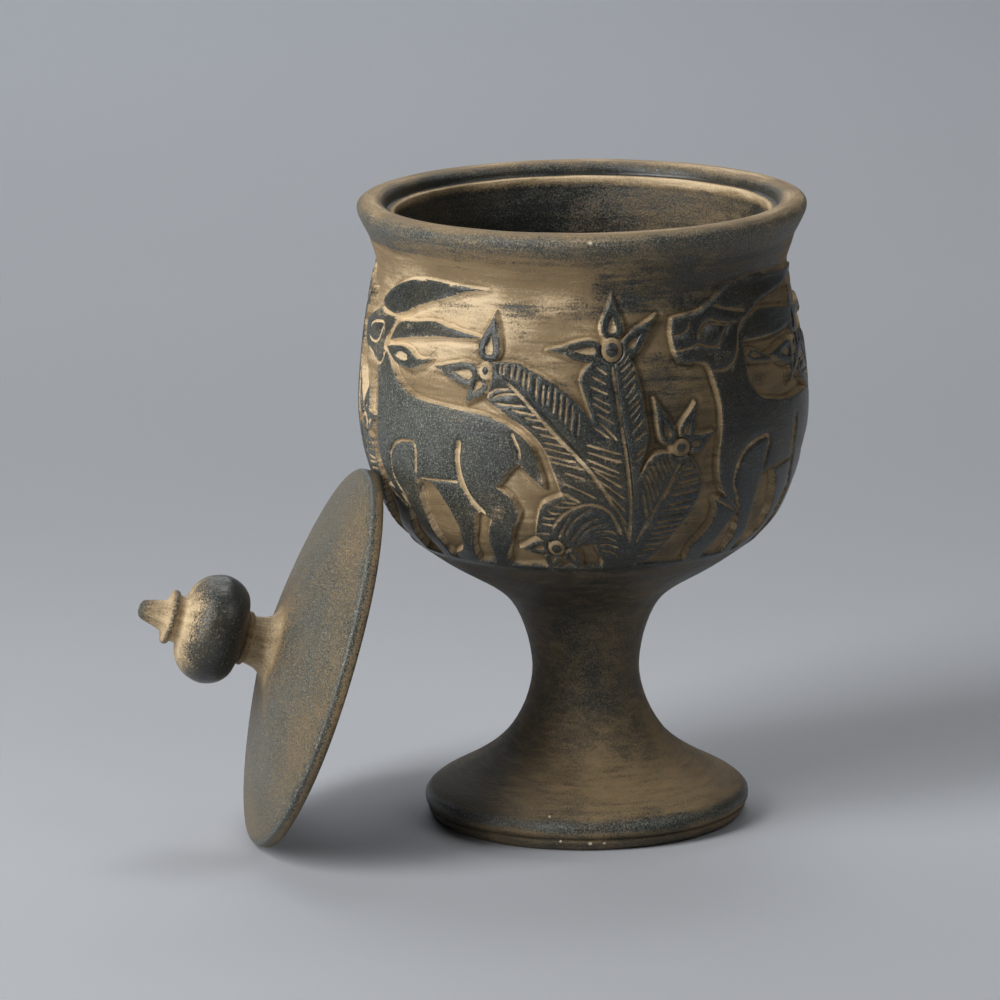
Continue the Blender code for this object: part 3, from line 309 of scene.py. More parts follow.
# How the patina lies on the band: its amount on the neck, the ground and the figures, and in the cuts
NECK_DUST = 0.62
GROUND_DUST = 0.80
FIGURE_DUST = 0.10
CUT_DUST = 0.95
# The neck starts at this height and takes over within this length, in millimetres
NECK_START = (219.0, 14.0)
# Dust covers the low ground from this far inside a shape's edge, how unevenly, and over what width
DUST_EDGE = (0.30, 0.15, 0.5)
BAND_TONE = 0.55
BAND_WEAR = 0.20
CUT_TONE = 0.12
TONE_CLOUDS = 0.16
# A light line along each shape's edge: how light, how unevenly, how far inside the edge and how wide
LIT_EDGE = (0.12, 0.10, -0.4, 0.8)
# and painted shade in the crease further out, at the foot of each shape's side: how dark, how far inside the edge and
# how wide
CREASE_SHADE = (0.26, -1.55, 0.5)
# The ground away from every shape is darker: how much, from where and over what length
OPEN_GROUND = (0.12, 2.0, 4.0)
# Hands rubbed the figures' edges: how much, and over what width
RUBBED_EDGE = (0.35, 0.7)
BRUSHED = 0.8
GROUND_MOTTLE = 0.85
NECK_MOTTLE = 0.65

# Soft patches of the patina: turn in degrees, height, half width in degrees, half height and amount
NECK_PATCHES = (
    (-58, 236, 36, 11, 0.38), (-12, 238, 14, 8, 0.34), (-20, 245, 26, 5, 0.16), (-18, 227, 6, 5, -0.42),
    (32, 240, 22, 15, -0.26), (62, 238, 20, 15, -0.20), (10, 234, 9, 8, -0.12), (76, 232, 8, 10, 0.35),
    (180, 238, 60, 9, 0.15), (120, 238, 24, 8, -0.25),
)
GROUND_PATCHES = ((24, 208, 9, 12, -0.22), (30, 150, 10, 14, -0.12), (-14, 215, 8, 6, -0.16), (-22, 222, 6, 5, -0.12))
FIGURE_PATCHES = ((-70, 232, 10, 6, 0.18), (13, 165, 10, 22, 0.12))
# The two broad darker patches on the right, at turns 35 and 75, are partly the patina's own tone and partly painted
# shade on the side that the key light misses
TONE_PATCHES = (
    (-50, 204, 38, 40, 0.18), (-62, 170, 26, 40, 0.10), (-48, 222, 34, 15, 0.26), (-40, 196, 16, 9, -0.18),
    (-14, 232, 14, 10, 0.12), (35, 190, 34, 50, -0.14), (22, 168, 8, 24, -0.22), (32, 240, 24, 14, -0.30),
    (75, 190, 30, 60, -0.04), (-5, 130, 30, 14, -0.12), (180, 190, 60, 40, 0.10),
)
WEAR_PATCHES = ((-48, 180, 26, 26, 0.55), (-76, 190, 12, 40, 0.25), (-40, 150, 26, 16, 0.25), (62, 190, 26, 40, -0.12))
# How the patina lies on the turned parts, with some painted highlight on the rim, at points of the outline: radius and
# height, then dust, tone, wear, brushing
VASE_FINISH = (
    (0.0, 0.0, 0.55, 0.30, 0.3, 0.4), (60.5, 0.0, 0.50, 0.30, 0.3, 0.4), (64.6, 1.6, 0.52, 0.34, 0.5, 0.3),
    (65.1, 5.0, 0.62, 0.12, 0.3, 0.3), (66.9, 7.5, 0.52, 0.34, 0.4, 0.4), (67.0, 9.4, 0.18, 0.30, 0.5, 0.4),
    (66.2, 11.2, 0.20, 0.30, 0.5, 0.4), (63.0, 14.0, 0.60, 0.30, 0.4, 0.4), (50.9, 21.0, 0.68, 0.33, 0.3, 0.4),
    (38.6, 29.0, 0.66, 0.31, 0.3, 0.4), (25.4, 47.0, 0.60, 0.27, 0.3, 0.3), (22.0, 63.0, 0.52, 0.25, 0.3, 0.3),
    (25.2, 80.0, 0.50, 0.22, 0.25, 0.3), (39.6, 99.0, 0.48, 0.20, 0.2, 0.5), (59.6, 111.0, 0.44, 0.20, 0.15, 0.9),
    (70.0, 118.5, 0.50, 0.24, 0.2, 0.9),
    # At 250.8 and 256.9 mm the rim's outer side has high wear, partly for its pale specks and partly as a painted
    # highlight along the rim
    (72.2, 120.0, 0.42, 0.28, 0.35, 0.9), (86.9, 245.0, 0.40, 0.46, 0.4, 0.9), (90.0, 250.8, 0.44, 0.46, 0.7, 0.9),
    (92.0, 256.9, 0.40, 0.60, 0.9, 0.7), (89.3, 259.8, 0.66, 0.52, 0.6, 0.6), (84.9, 259.9, 0.70, 0.56, 0.6, 0.6),
    (81.0, 258.0, 0.34, 0.30, 0.3, 0.5), (80.3, 255.1, 0.12, 0.15, 0.1, 0.3), (79.6, 254.8, 0.20, 0.20, 0.1, 0.3),
    (77.6, 254.65, 0.92, 0.70, 0.4, 0.3), (76.6, 254.1, 0.88, 0.70, 0.4, 0.3), (76.9, 252.0, 0.42, 0.30, 0.2, 0.6),
    (77.1, 250.0, 0.36, 0.26, 0.2, 0.6), (75.6, 234.6, 0.36, 0.24, 0.15, 0.6),
    (82.9, 176.8, 0.40, 0.22, 0.1, 0.6), (58.3, 121.6, 0.45, 0.25, 0.1, 0.6), (0.0, 108.0, 0.45, 0.25, 0.1, 0.3),
)
LID_FINISH = (
    (0.0, 0.0, 0.50, 0.40, 0.3, 0.4), (60.0, 0.0, 0.46, 0.40, 0.4, 0.4), (79.0, 0.0, 0.50, 0.40, 0.5, 0.3),
    (80.0, 0.9, 0.64, 0.30, 0.4, 0.5), (80.0, 2.5, 0.70, 0.38, 0.4, 0.5), (79.9, 4.0, 0.52, 0.32, 0.5, 0.5),
    (79.7, 4.6, 0.05, 0.40, 0.6, 0.2), (79.3, 5.05, 0.02, 0.40, 1.1, 0.2), (78.6, 5.6, 0.30, 0.40, 0.8, 0.4),
    (76.0, 7.0, 0.41, 0.40, 1.0, 0.4), (70.0, 9.0, 0.41, 0.38, 1.0, 0.4), (50.0, 14.0, 0.39, 0.36, 1.0, 0.4),
    (30.0, 18.7, 0.41, 0.38, 0.9, 0.4), (18.5, 20.8, 0.56, 0.50, 0.6, 0.4), (15.6, 21.3, 0.95, 0.72, 0.4, 0.3),
    # From 23.2 to 33.9 mm the knob's neck is light in tone, partly tan patina and partly painted light where the ball
    # shades it
    (14.4, 21.7, 0.95, 0.72, 0.4, 0.3), (12.4, 23.2, 0.90, 0.78, 0.4, 0.3), (9.9, 30.2, 0.86, 0.74, 0.4, 0.3),
    (10.9, 31.5, 0.76, 0.60, 0.4, 0.2), (10.3, 33.9, 0.80, 0.50, 0.3, 0.2), (13.5, 34.8, 0.35, 0.40, 0.3, 0.3),
    (17.5, 35.9, 0.12, 0.40, 0.05, 0.2), (22.4, 43.6, 0.04, 0.45, 0.02, 0.2), (22.3, 48.6, 0.10, 0.50, 0.10, 0.2),
    (20.4, 53.0, 0.28, 0.60, 0.5, 0.3), (16.0, 57.3, 0.64, 0.66, 0.5, 0.3), (9.8, 60.0, 0.98, 0.76, 0.3, 0.2),
    (10.0, 62.9, 0.85, 0.66, 0.3, 0.2), (11.3, 64.3, 0.30, 0.50, 0.5, 0.2), (9.8, 65.9, 0.72, 0.70, 0.4, 0.2),
    (6.2, 68.0, 0.85, 0.66, 0.4, 0.2), (4.4, 74.4, 0.50, 0.50, 0.5, 0.2), (3.5, 76.6, 0.10, 0.40, 0.6, 0.2),
    (0.0, 77.7, 0.08, 0.40, 0.6, 0.2),
)

# How patchy the patina is on the turned parts
TURNED_MOTTLE = 0.36
KNOB_MOTTLE = 0.5
# The knob starts at this height and takes over within this length, in millimetres
KNOB_START = (34.0, 8.0)
# Soft patches on the turned parts, some of patina and some of painted light and shade: turn in degrees, height, half
# width in degrees, half height, dust and tone
VASE_PATCHES = (
    (6, 66, 13, 20, -0.10, 0.0), (-24, 84, 18, 9, -0.10, 0.0), (42, 42, 14, 14, -0.10, 0.0),
    # Painted shade at the left: on the stem and foot, under the bowl, and on the foot where the lid shades it
    (-72, 44, 28, 40, 0.05, -0.16), (-50, 108, 44, 12, 0.14, -0.22), (-66, 14, 26, 12, 0.12, -0.36),
    (-24, 9, 13, 3, 0.24, 0.10), (14, 9, 6, 3, 0.12, 0.05), (20, 78, 20, 12, 0.08, 0.05),
    # Painted light on the inner wall at the back right, and painted shade on it at the back left
    (130, 232, 50, 30, 0.12, 0.16), (-130, 232, 50, 30, -0.12, -0.12),
    # The patch at turn 180 is painted light on the far side of the rim's crown
    (180, 256, 70, 6, 0.0, 0.12), (-20, 248, 26, 4, 0.26, 0.10), (60, 250, 40, 6, -0.10, -0.10),
)
LID_PATCHES = (
    (165, 9, 24, 4, 0.12, 0.02), (-125, 10, 18, 5, 0.12, 0.02), (110, 9, 20, 4, 0.10, 0.0),
    (-170, 8, 10, 3, 0.08, 0.05), (-150, 13, 30, 5, -0.08, 0.0), (140, 15, 30, 4, -0.06, 0.0),
)
# Small pale chips at the rim, on a petal, on an antelope and round the foot: radius in millimetres, turn in degrees,
# height and size in millimetres
CHIPS = (
    (92.0, 2.0, 256.9, 0.9), (63.2, -14.0, 14.0, 0.65), (65.6, -9.5, 4.6, 0.7), (65.9, 1.0, 3.6, 1.15),
    (65.9, 6.0, 3.6, 0.7),
    (74.0, -13.0, 122.0, 1.0), (91.0, -42.0, 186.0, 0.6), (91.2, -31.0, 187.0, 0.5),
)

# Detail of the meshes
FINE_COLUMNS = 1920
BAND_ROWS = 430
COARSE_COLUMNS = 240


# Sizes and colours that a user would change

def length(name, description, default, top):
    return FloatProperty(name=name, description=description, default=default, min=0.0, max=top, precision=5,
                         unit="LENGTH")


def colour(name, description, default):
    return FloatVectorProperty(name=name, description=description, default=default, size=3, min=0.0, max=1.0,
                               subtype="COLOR")


def power(name, description, default):
    return FloatProperty(name=name, description=description, default=default, min=0.0, unit="POWER")


class VASE_PG_carving(bpy.types.PropertyGroup):
    """Sizes of the carving"""

    ground_depth: length("Ground depth", "How far the ground lies below the animals and plants", 0.0023, 0.0026)
    slope: length("Slope", "How far the side of a shape runs out to the ground", 0.00075, 0.003)
    stroke_width: length("Stroke width", "Width of a stroke in a leaf", 0.00115, 0.003)
    stroke_depth: length("Stroke depth", "Depth of a stroke in a leaf", 0.0008, 0.002)
    midrib_width: length("Midrib width", "Width of the line along a leaf", 0.0018, 0.004)
    midrib_depth: length("Midrib depth", "Depth of the line along a leaf", 0.00045, 0.002)
    ring_depth: length("Ring depth", "How far the ring round a flower's disc is lowered", 0.00045, 0.002)
    ring_crease: length("Ring crease", "Depth of the crease outside that ring", 0.001, 0.002)
    triangles: IntProperty(name="Triangles", description="How many triangles the carved piece keeps", default=190000,
                           min=20000, max=199000)


class VASE_PG_stone(bpy.types.PropertyGroup):
    """Colours and grain of the stone"""

    deep: colour("Deep stone", "The stone where nothing has rubbed it", (0.018, 0.020, 0.019))
    worn: colour("Worn stone", "The stone where hands have rubbed it", (0.098, 0.103, 0.089))
    specks: colour("Pale specks", "Fine specks in worn stone", (0.36, 0.36, 0.28))
    brown: colour("Brown patina", "The patina at its darkest", (0.066, 0.050, 0.026))
    tan: colour("Tan patina", "The patina over most of the ground", (0.225, 0.156, 0.078))
    pale: colour("Pale patina", "The patina at its lightest", (0.64, 0.49, 0.30))
    chipped: colour("Chipped stone", "Fresh stone in small chips", (0.62, 0.53, 0.38))
    grain_height: length("Grain height", "Height of the grain in the surface", 0.0006, 0.002)


class VASE_PG_studio(bpy.types.PropertyGroup):
    """The stage, its lights and the lens"""

    floor_colour: colour("Floor", "Colour of the floor and the wall behind", (0.36, 0.374, 0.397))
    key_power: power("Key light", "Power of the tall softbox at the left", 60.0)
    key_turn: FloatProperty(name="Key turn", description="Turn of the key light to the right of the front",
                            default=math.radians(-54.0), subtype="ANGLE", unit="ROTATION")
    key_rise: FloatProperty(name="Key rise", description="Rise of the key light above the floor",
                            default=math.radians(34.0), subtype="ANGLE", unit="ROTATION")
    back_power: power("Back light", "Power of the small softbox high behind the vase", 4.8)
    overhead_power: power("Overhead light", "Power of the wide softbox overhead", 13.0)
    right_power: power("Right light", "Power of the softbox at the right", 9.0)
    backdrop_power: power("Backdrop light", "Power of the softbox over the wall", 20.0)
    fill_strength: FloatProperty(name="Fill", description="Strength of the even light from all sides", default=0.03,
                                 min=0.0, max=2.0)
    lens: FloatProperty(name="Lens", description="Focal length of the camera", default=252.0, min=20.0, max=400.0,
                        unit="CAMERA")


class VASE_PG_settings(bpy.types.PropertyGroup):
    """Everything that can be changed"""

    carving: PointerProperty(name="Carving", description="Sizes of the carving", type=VASE_PG_carving)
    stone: PointerProperty(name="Stone", description="Colours and grain of the stone", type=VASE_PG_stone)
    studio: PointerProperty(name="Studio", description="The stage, its lights and the lens", type=VASE_PG_studio)


CARVING_SIZES = ("ground_depth", "slope", "stroke_width", "stroke_depth", "midrib_width", "midrib_depth", "ring_depth",
                 "ring_crease")
STONE_COLOURS = {"deep": "Deep stone", "worn": "Worn stone", "specks": "Pale specks", "brown": "Brown patina",
                 "tan": "Tan patina", "pale": "Pale patina", "chipped": "Chipped stone"}


# Curves and outlines

def curve_through(points, steps):
    """Points of a smooth curve that passes through each given point, with steps between two of them."""
    given = np.array(points, float)
    ends = np.vstack([2 * given[0] - given[1], given, 2 * given[-1] - given[-2]])
    made = []
    for before, start, end, after in zip(ends, ends[1:], ends[2:], ends[3:]):
        for share in np.arange(steps) / steps:
            made.append(0.5 * (2 * start + (end - before) * share
                               + (2 * before - 5 * start + 4 * end - after) * share ** 2
                               + (3 * start - before - 3 * end + after) * share ** 3))
    made.append(given[-1])
    return np.array(made)


def lengths_along(line):
    return np.concatenate([[0.0], np.cumsum(np.linalg.norm(np.diff(line, axis=0), axis=1))])


def between(low, high, share):
    return low + (high - low) * share


def band_curve():
    """Smooth outline of the bowl, from the carved band's bottom to its top: radius and height."""
    belly = BELLY_HEIGHT - BAND_BOTTOM
    swell = BELLY_RADIUS - BAND_BOTTOM_RADIUS
    drop = NECK_HEIGHT - BELLY_HEIGHT
    taper = BELLY_RADIUS - NECK_RADIUS
    stations = [
        (BAND_BOTTOM_RADIUS, BAND_BOTTOM),
        (BAND_BOTTOM_RADIUS + 0.42 * swell, BAND_BOTTOM + 0.18 * belly),
        (BAND_BOTTOM_RADIUS + 0.72 * swell, BAND_BOTTOM + 0.43 * belly),
        (BAND_BOTTOM_RADIUS + 0.93 * swell, BAND_BOTTOM + 0.70 * belly),
        (BELLY_RADIUS, BELLY_HEIGHT),
        (BELLY_RADIUS - 0.28 * taper, BELLY_HEIGHT + 0.45 * drop),
        (BELLY_RADIUS - 0.74 * taper, BELLY_HEIGHT + 0.84 * drop),
        (NECK_RADIUS, NECK_HEIGHT),
        (between(NECK_RADIUS, LIP_RADIUS, FLARE_START), BAND_TOP),
    ]
    return curve_through(stations, 12)


def turned(stations, steps):
    """A smooth run of an outline, as radius and height in metres, from heights and radii in millimetres."""
    return curve_through([(radius * MM, height * MM) for height, radius in stations], steps)


def vase_outline():
    """The whole turned outline, from the middle of the underside to the middle of the bowl's floor.

    It comes with the numbers of the points where the carved band starts and ends."""
    band = band_curve()
    flat = [(0.0, 0.0), (0.020, 0.0), (0.042, 0.0)]
    stem = ((10.2, 66.9),) + FOOT_AND_STEM + ((120.0, 72.2),)
    lower = np.vstack([flat, turned(FOOT_EDGE, 2)[:-1], turned(stem, 2)[:-1]])
    upper = np.vstack([
        turned(((245.0, 86.96),) + LIP, 3)[1:],
        turned(SEAT_STEPS, 2),
        turned(INNER_WALL, 2),
        [(0.016, 0.108), (0.0, 0.108)],
    ])
    outline = np.vstack([lower, band, upper])
    outline[:, 1] = np.maximum(outline[:, 1], 0.0)
    return outline, len(lower), len(lower) + len(band) - 1


def lid_outline():
    """The lid's outline from the middle of its underside, over its edge and dome, to the tip of its knob."""
    edge = [(0.0, 0.0), (0.030, 0.0), (0.060, 0.0), (0.0790, 0.0), (0.0797, 0.0002), (0.0800, 0.0009), (0.0800, 0.0025),
            (0.0799, 0.0043), (0.0795, 0.0050)]
    reach = LID_RADIUS - LID_EDGE_CHAMFER - KNOB[0][0] * MM
    dome = []
    for share in DOME_SHARES:
        rise = LID_DOME_RISE * share ** LID_DOME_CURVE
        dome.append((LID_RADIUS - LID_EDGE_CHAMFER - share * reach, LID_EDGE + rise))
    knob = curve_through([(radius * MM, height * MM) for radius, height in KNOB], 3)
    return np.vstack([edge, dome, knob, [(0.0, 0.0777)]])


class Sheet:
    """Lays the drawing on the bowl: x is millimetres round the belly, y is millimetres up the bowl's surface."""

    def __init__(self):
        outline = band_curve()
        self.heights = outline[:, 1]
        self.climb = lengths_along(outline) / MM
        self.top = self.climb[-1]
        self.per_degree = math.radians(1.0) * BELLY_RADIUS / MM
        self.girth = 360.0 * self.per_degree

    def place(self, points, turned_by=0.0):
        points = np.array(points, float)
        height = BAND_BOTTOM + points[:, 1] / DRAWING_HEIGHT * (BAND_TOP - BAND_BOTTOM)
        low = np.minimum(points[:, 1], 0.0)
        return np.stack([(points[:, 0] + turned_by) * self.per_degree,
                         np.interp(height, self.heights, self.climb) + low], axis=1)


def softened(points, corner=48.0, steps=5):
    """A closed outline drawn smooth, which keeps its sharp corners."""
    points = np.array(points, float)
    before, after = points - np.roll(points, 1, axis=0), np.roll(points, -1, axis=0) - points
    crossed = before[:, 0] * after[:, 1] - before[:, 1] * after[:, 0]
    angle = np.degrees(np.arctan2(crossed, (before * after).sum(axis=1)))
    sharp = np.nonzero(np.abs(angle) > corner)[0]
    if len(sharp) == 0:
        wrapped = np.vstack([points[-2:], points, points[:2]])
        return curve_through(wrapped, steps)[2 * steps:-2 * steps]
    points = np.roll(points, -sharp[0], axis=0)
    stops = list(sharp - sharp[0]) + [len(points)]
    closed = np.vstack([points, points[:1]])
    runs = [curve_through(closed[start:end + 1], steps)[:-1] for start, end in zip(stops, stops[1:])]
    return np.vstack(runs)


def drop_outline(base, tip, width, points=12):
    """A pointed drop from a round base to its tip."""
    base, tip = np.array(base), np.array(tip)
    along = tip - base
    across = np.array([-along[1], along[0]]) / np.linalg.norm(along)
    reach = ((np.arange(points) + 0.5) / points) ** 1.5
    fullest = 0.238
    half = width * np.sqrt(reach / fullest) * ((1 - reach) / (1 - fullest)) ** 1.6
    left = [base + along * share + across * side for share, side in zip(reach, half)]
    right = [base + along * share - across * side for share, side in zip(reach, half)]
    return np.array([base] + left + [tip] + right[::-1])


def oval(centre, half_width, half_height, points=28):
    angles = 2 * math.pi * np.arange(points) / points
    return np.array(centre) + np.stack([half_width * np.cos(angles), half_height * np.sin(angles)], axis=1)


def part_of(line, start, end):
    """The part of a line between two shares of its length."""
    lengths = lengths_along(line)
    shares = np.linspace(start, end, 24) * lengths[-1]
    return np.stack([np.interp(shares, lengths, line[:, axis]) for axis in (0, 1)], axis=1)


def inside(points, outline):
    """Which points lie inside a closed outline."""
    x, y = points[:, 0:1], points[:, 1:2]
    start, end = outline, np.roll(outline, -1, axis=0)
    crosses = (start[:, 1] > y) != (end[:, 1] > y)
    rise = np.where(end[:, 1] == start[:, 1], 1e-9, end[:, 1] - start[:, 1])
    at = start[:, 0] + (y - start[:, 1]) * (end[:, 0] - start[:, 0]) / rise
    return (crosses & (x < at)).sum(axis=1) % 2 == 1


def off_piece(x, y, start, end):
    """How far places lie from a straight piece, and the share along it of the nearest point."""
    along = end - start
    share = ((x - start[0]) * along[0] + (y - start[1]) * along[1]) / max((along ** 2).sum(), 1e-9)
    share = np.clip(share, 0, 1)
    return np.hypot(x - start[0] - share * along[0], y - start[1] - share * along[1]), share


def soft_step(value):
    value = np.clip(value, 0.0, 1.0)
    return value * value * (3 - 2 * value)


def hump(value, middle, width):
    """1 at the middle, and less on both sides of it."""
    return np.exp(-((value - middle) / width) ** 2)


class Relief:
    """The frieze as a grid of depths, which closes on itself round the bowl."""

    # Distances to an edge are measured this far, and FAR stands for all beyond
    REACH = 7.0
    FAR = 12.0

    def __init__(self, sheet, columns, rows):
        self.sheet = sheet
        self.columns, self.rows = columns, rows
        self.step = np.array([sheet.girth / columns, sheet.top / (rows - 1)])
        self.x = (np.arange(columns) - columns / 2) * self.step[0]
        self.y = np.arange(rows) * self.step[1]
        self.raised = np.zeros((rows, columns), bool)
        self.edge = np.full((rows, columns), self.FAR)
        self.cut = np.zeros((rows, columns))
        self.tan = np.zeros((rows, columns))

    def part_near(self, low, high):
        """Rows and columns between two corners, with their places on the sheet."""
        first = np.ceil(low / self.step + np.array([self.columns / 2, 0])).astype(int)
        last = np.floor(high / self.step + np.array([self.columns / 2, 0])).astype(int) + 1
        rows = np.arange(max(first[1], 0), min(last[1], self.rows))
        columns = np.arange(first[0], last[0])
        x = (columns - self.columns / 2) * self.step[0]
        return np.ix_(rows, columns % self.columns), x[None, :], (rows * self.step[1])[:, None]

    def near_piece(self, start, end, reach):
        """The grid within reach of a straight piece: where, how far off, and the share along the piece."""
        where, x, y = self.part_near(np.minimum(start, end) - reach, np.maximum(start, end) + reach)
        return (where, *off_piece(x, y, start, end))

    def fill(self, outline):
        """Marks the grid points inside a closed outline as raised."""
        where, x, y = self.part_near(outline.min(axis=0), outline.max(axis=0))
        within = np.zeros((y.shape[0], x.shape[1]), bool)
        for start, end in zip(outline, np.roll(outline, -1, axis=0)):
            low, high = min(start[1], end[1]), max(start[1], end[1])
            rows = np.nonzero((y[:, 0] >= low) & (y[:, 0] < high))[0]
            if len(rows):
                at = start[0] + (y[rows, 0] - start[1]) * (end[0] - start[0]) / (end[1] - start[1])
                within[rows] ^= x < at[:, None]
        self.raised[where] |= within

    def add_shapes(self, outlines):
        """Fills every raised outline, and measures the distance to the edge of them all together."""
        for outline in outlines:
            self.fill(outline)
        lows = np.array([outline.min(axis=0) for outline in outlines])
        highs = np.array([outline.max(axis=0) for outline in outlines])
        for number, outline in enumerate(outlines):
            after = np.roll(outline, -1, axis=0)
            middle = (outline + after) / 2
            hidden = np.zeros(len(middle), bool)
            for other in range(len(outlines)):
                turns = round((middle[:, 0].mean() - (lows[other, 0] + highs[other, 0]) / 2) / self.sheet.girth)
                moved = middle - np.array([turns * self.sheet.girth, 0.0])
                apart = (moved.max(axis=0) < lows[other]).any() or (moved.min(axis=0) > highs[other]).any()
                if other != number and not apart:
                    hidden |= inside(moved, outlines[other])
            for start, end in zip(outline[~hidden], after[~hidden]):
                where, away, _ = self.near_piece(start, end, self.REACH)
                self.edge[where] = np.minimum(self.edge[where], away)

    def cut_line(self, line, width, depth, tan=1.0, ends=0.35, flat=1.0):
        """Cuts a line that is rounded across, and runs out towards its two ends."""
        lengths = lengths_along(line)
        for number, (start, end) in enumerate(zip(line, line[1:])):
            where, away, share = self.near_piece(start, end, width)
            gone = between(lengths[number], lengths[number + 1], share) / lengths[-1]
            run_out = soft_step(np.minimum(gone, 1 - gone) / ends + 0.3)
            across = np.clip(away / (width * 0.62), 0, 1)
            shape = np.clip((0.5 + 0.5 * np.cos(math.pi * across)) * flat, 0, 1) * run_out
            self.cut[where] = np.maximum(self.cut[where], depth * shape)
            self.tan[where] = np.maximum(self.tan[where], tan * soft_step(1.6 * shape))

    def cut_ring(self, centre, size, disc, depth, crease_depth):
        """Cuts a ring round a flower's disc, and a crease outside it."""
        where, x, y = self.part_near(centre - size - 1, centre + size + 1)
        reach = np.hypot((x - centre[0]) / size[0], (y - centre[1]) / size[1])
        mean = size.mean()
        ring = soft_step((reach - disc) * mean / 0.35 + 0.5) * soft_step((1.0 - reach) * mean / 0.35 + 0.5)
        crease = soft_step(1.4 - np.abs(reach - 1.06) * mean / 0.45)
        clear = reach < 1.0
        self.cut[where] = np.maximum(np.where(clear, depth * ring, self.cut[where]), crease_depth * crease)
        self.tan[where] = np.where(reach < 1.1, ring, self.tan[where])

    def hollow_out(self, outline, depth):
        """Sinks a closed shape with sloping sides."""
        where, x, y = self.part_near(outline.min(axis=0) - 1, outline.max(axis=0) + 1)
        away = np.full((y.shape[0], x.shape[1]), self.FAR)
        points = np.stack(np.broadcast_arrays(x, y), axis=2).reshape(-1, 2)
        within = inside(points, outline).reshape(away.shape)
        for start, end in zip(outline, np.roll(outline, -1, axis=0)):
            away = np.minimum(away, off_piece(x, y, start, end)[0])
        shape = soft_step(np.where(within, away, -away) / 0.8 + 0.35)
        self.cut[where] = np.maximum(self.cut[where], depth * shape)
        self.tan[where] = np.maximum(self.tan[where], shape)


def soft_noise(x, y, wide, tall, seed, girth):
    """Smooth values from -1 to 1 that close on themselves round the girth."""
    random = np.random.RandomState(seed)
    across = max(3, round(girth / wide))
    up = int(np.ceil((y.max() - y.min()) / tall)) + 3
    lattice = random.uniform(-1, 1, (up, across))
    u = (x / girth * across) % across
    v = (y - y.min()) / tall
    column, row = np.floor(u).astype(int), np.floor(v).astype(int)
    s, t = soft_step(u - column)[None, :], soft_step(v - row)[:, None]
    column, after = column % across, (column + 1) % across
    low = lattice[np.ix_(row, column)] * (1 - s) + lattice[np.ix_(row, after)] * s
    high = lattice[np.ix_(row + 1, column)] * (1 - s) + lattice[np.ix_(row + 1, after)] * s
    return low * (1 - t) + high * t


def plant_lines(sheet, turned_by, seed):
    """Strokes of a plant's leaves, each moved a little from its drawn place, as a hand would."""
    random = np.random.RandomState(seed)
    strokes = []
    for line in [((a, b), (c, d)) for a, b, c, d in LEAF_STROKES] + list(LEAF_CURVES):
        drawn = np.array(line) - (PLANT_ROOT, BAND_BOTTOM / MM)
        if turned_by != PLANT_ROOT:
            drawn = drawn + random.uniform(-HAND_SHIFT, HAND_SHIFT, drawn.shape)
        placed = sheet.place(drawn, turned_by)
        strokes.append(curve_through(placed, 4) if len(placed) > 2 else placed)
    return strokes


def carve_plant(relief, turned_by, seed, sizes):
    """Cuts the midribs, strokes, petals and rings of one plant, with the sizes given in millimetres."""
    sheet = relief.sheet
    for midrib, (start, end) in zip(MIDRIBS, MIDRIB_CUTS):
        line = part_of(curve_through(sheet.place(midrib, turned_by), 4), start, end)
        relief.cut_line(line, sizes["midrib_width"], sizes["midrib_depth"], tan=0.8, ends=0.1, flat=1.7)
    for line in MIDRIB_LINES:
        drawn = np.array(line) - (PLANT_ROOT, BAND_BOTTOM / MM)
        relief.cut_line(curve_through(sheet.place(drawn, turned_by), 4), *MIDRIB_LINE_SIZE, tan=0.0, ends=0.1)
    for stroke in plant_lines(sheet, turned_by, seed):
        relief.cut_line(stroke, sizes["stroke_width"], sizes["stroke_depth"])
    for (centre, half_sizes, petals), disc in zip(FLOWERS, FLOWER_DISCS):
        for base, tip, width in petals:
            base, tip = sheet.place([base, tip], turned_by)
            inner = [between(base, tip, share) for share in PETAL_HOLLOW]
            relief.hollow_out(drop_outline(*inner, width * PETAL_RECESS), PETAL_DEPTH)
        place = sheet.place([centre], turned_by)[0]
        relief.cut_ring(place, np.array(half_sizes), disc, sizes["ring_depth"], sizes["ring_crease"])


def raised_shapes(sheet):
    """Every raised outline of the frieze, on the sheet."""
    shapes = []
    for turned_by in PLANT_TURNS:
        shapes.append(softened(sheet.place(ROOT_BLOCK, turned_by)))
        for outline in LEAF_OUTLINES:
            shapes.append(softened(sheet.place(outline, turned_by)))
        for centre, half_sizes, petals in FLOWERS:
            shapes.append(oval(sheet.place([centre], turned_by)[0], *half_sizes))
            for base, tip, width in petals:
                shapes.append(drop_outline(*sheet.place([base, tip], turned_by), width))
    for turned_by, kind in ANTELOPES:
        for outline in (BODY + BACKS[kind], FAR_FORELEG) + HEADS[kind]:
            shapes.append(softened(sheet.place(outline, turned_by)))
    return shapes


def carve_antelope(relief, turned_by, kind):
    for width, depth, line in BODY_GROOVES + HEAD_GROOVES[kind]:
        relief.cut_line(curve_through(relief.sheet.place(line, turned_by), 5), width, depth, ends=0.1)
    relief.hollow_out(softened(relief.sheet.place(EAR_RECESSES[kind], turned_by)), EAR_DEPTH)


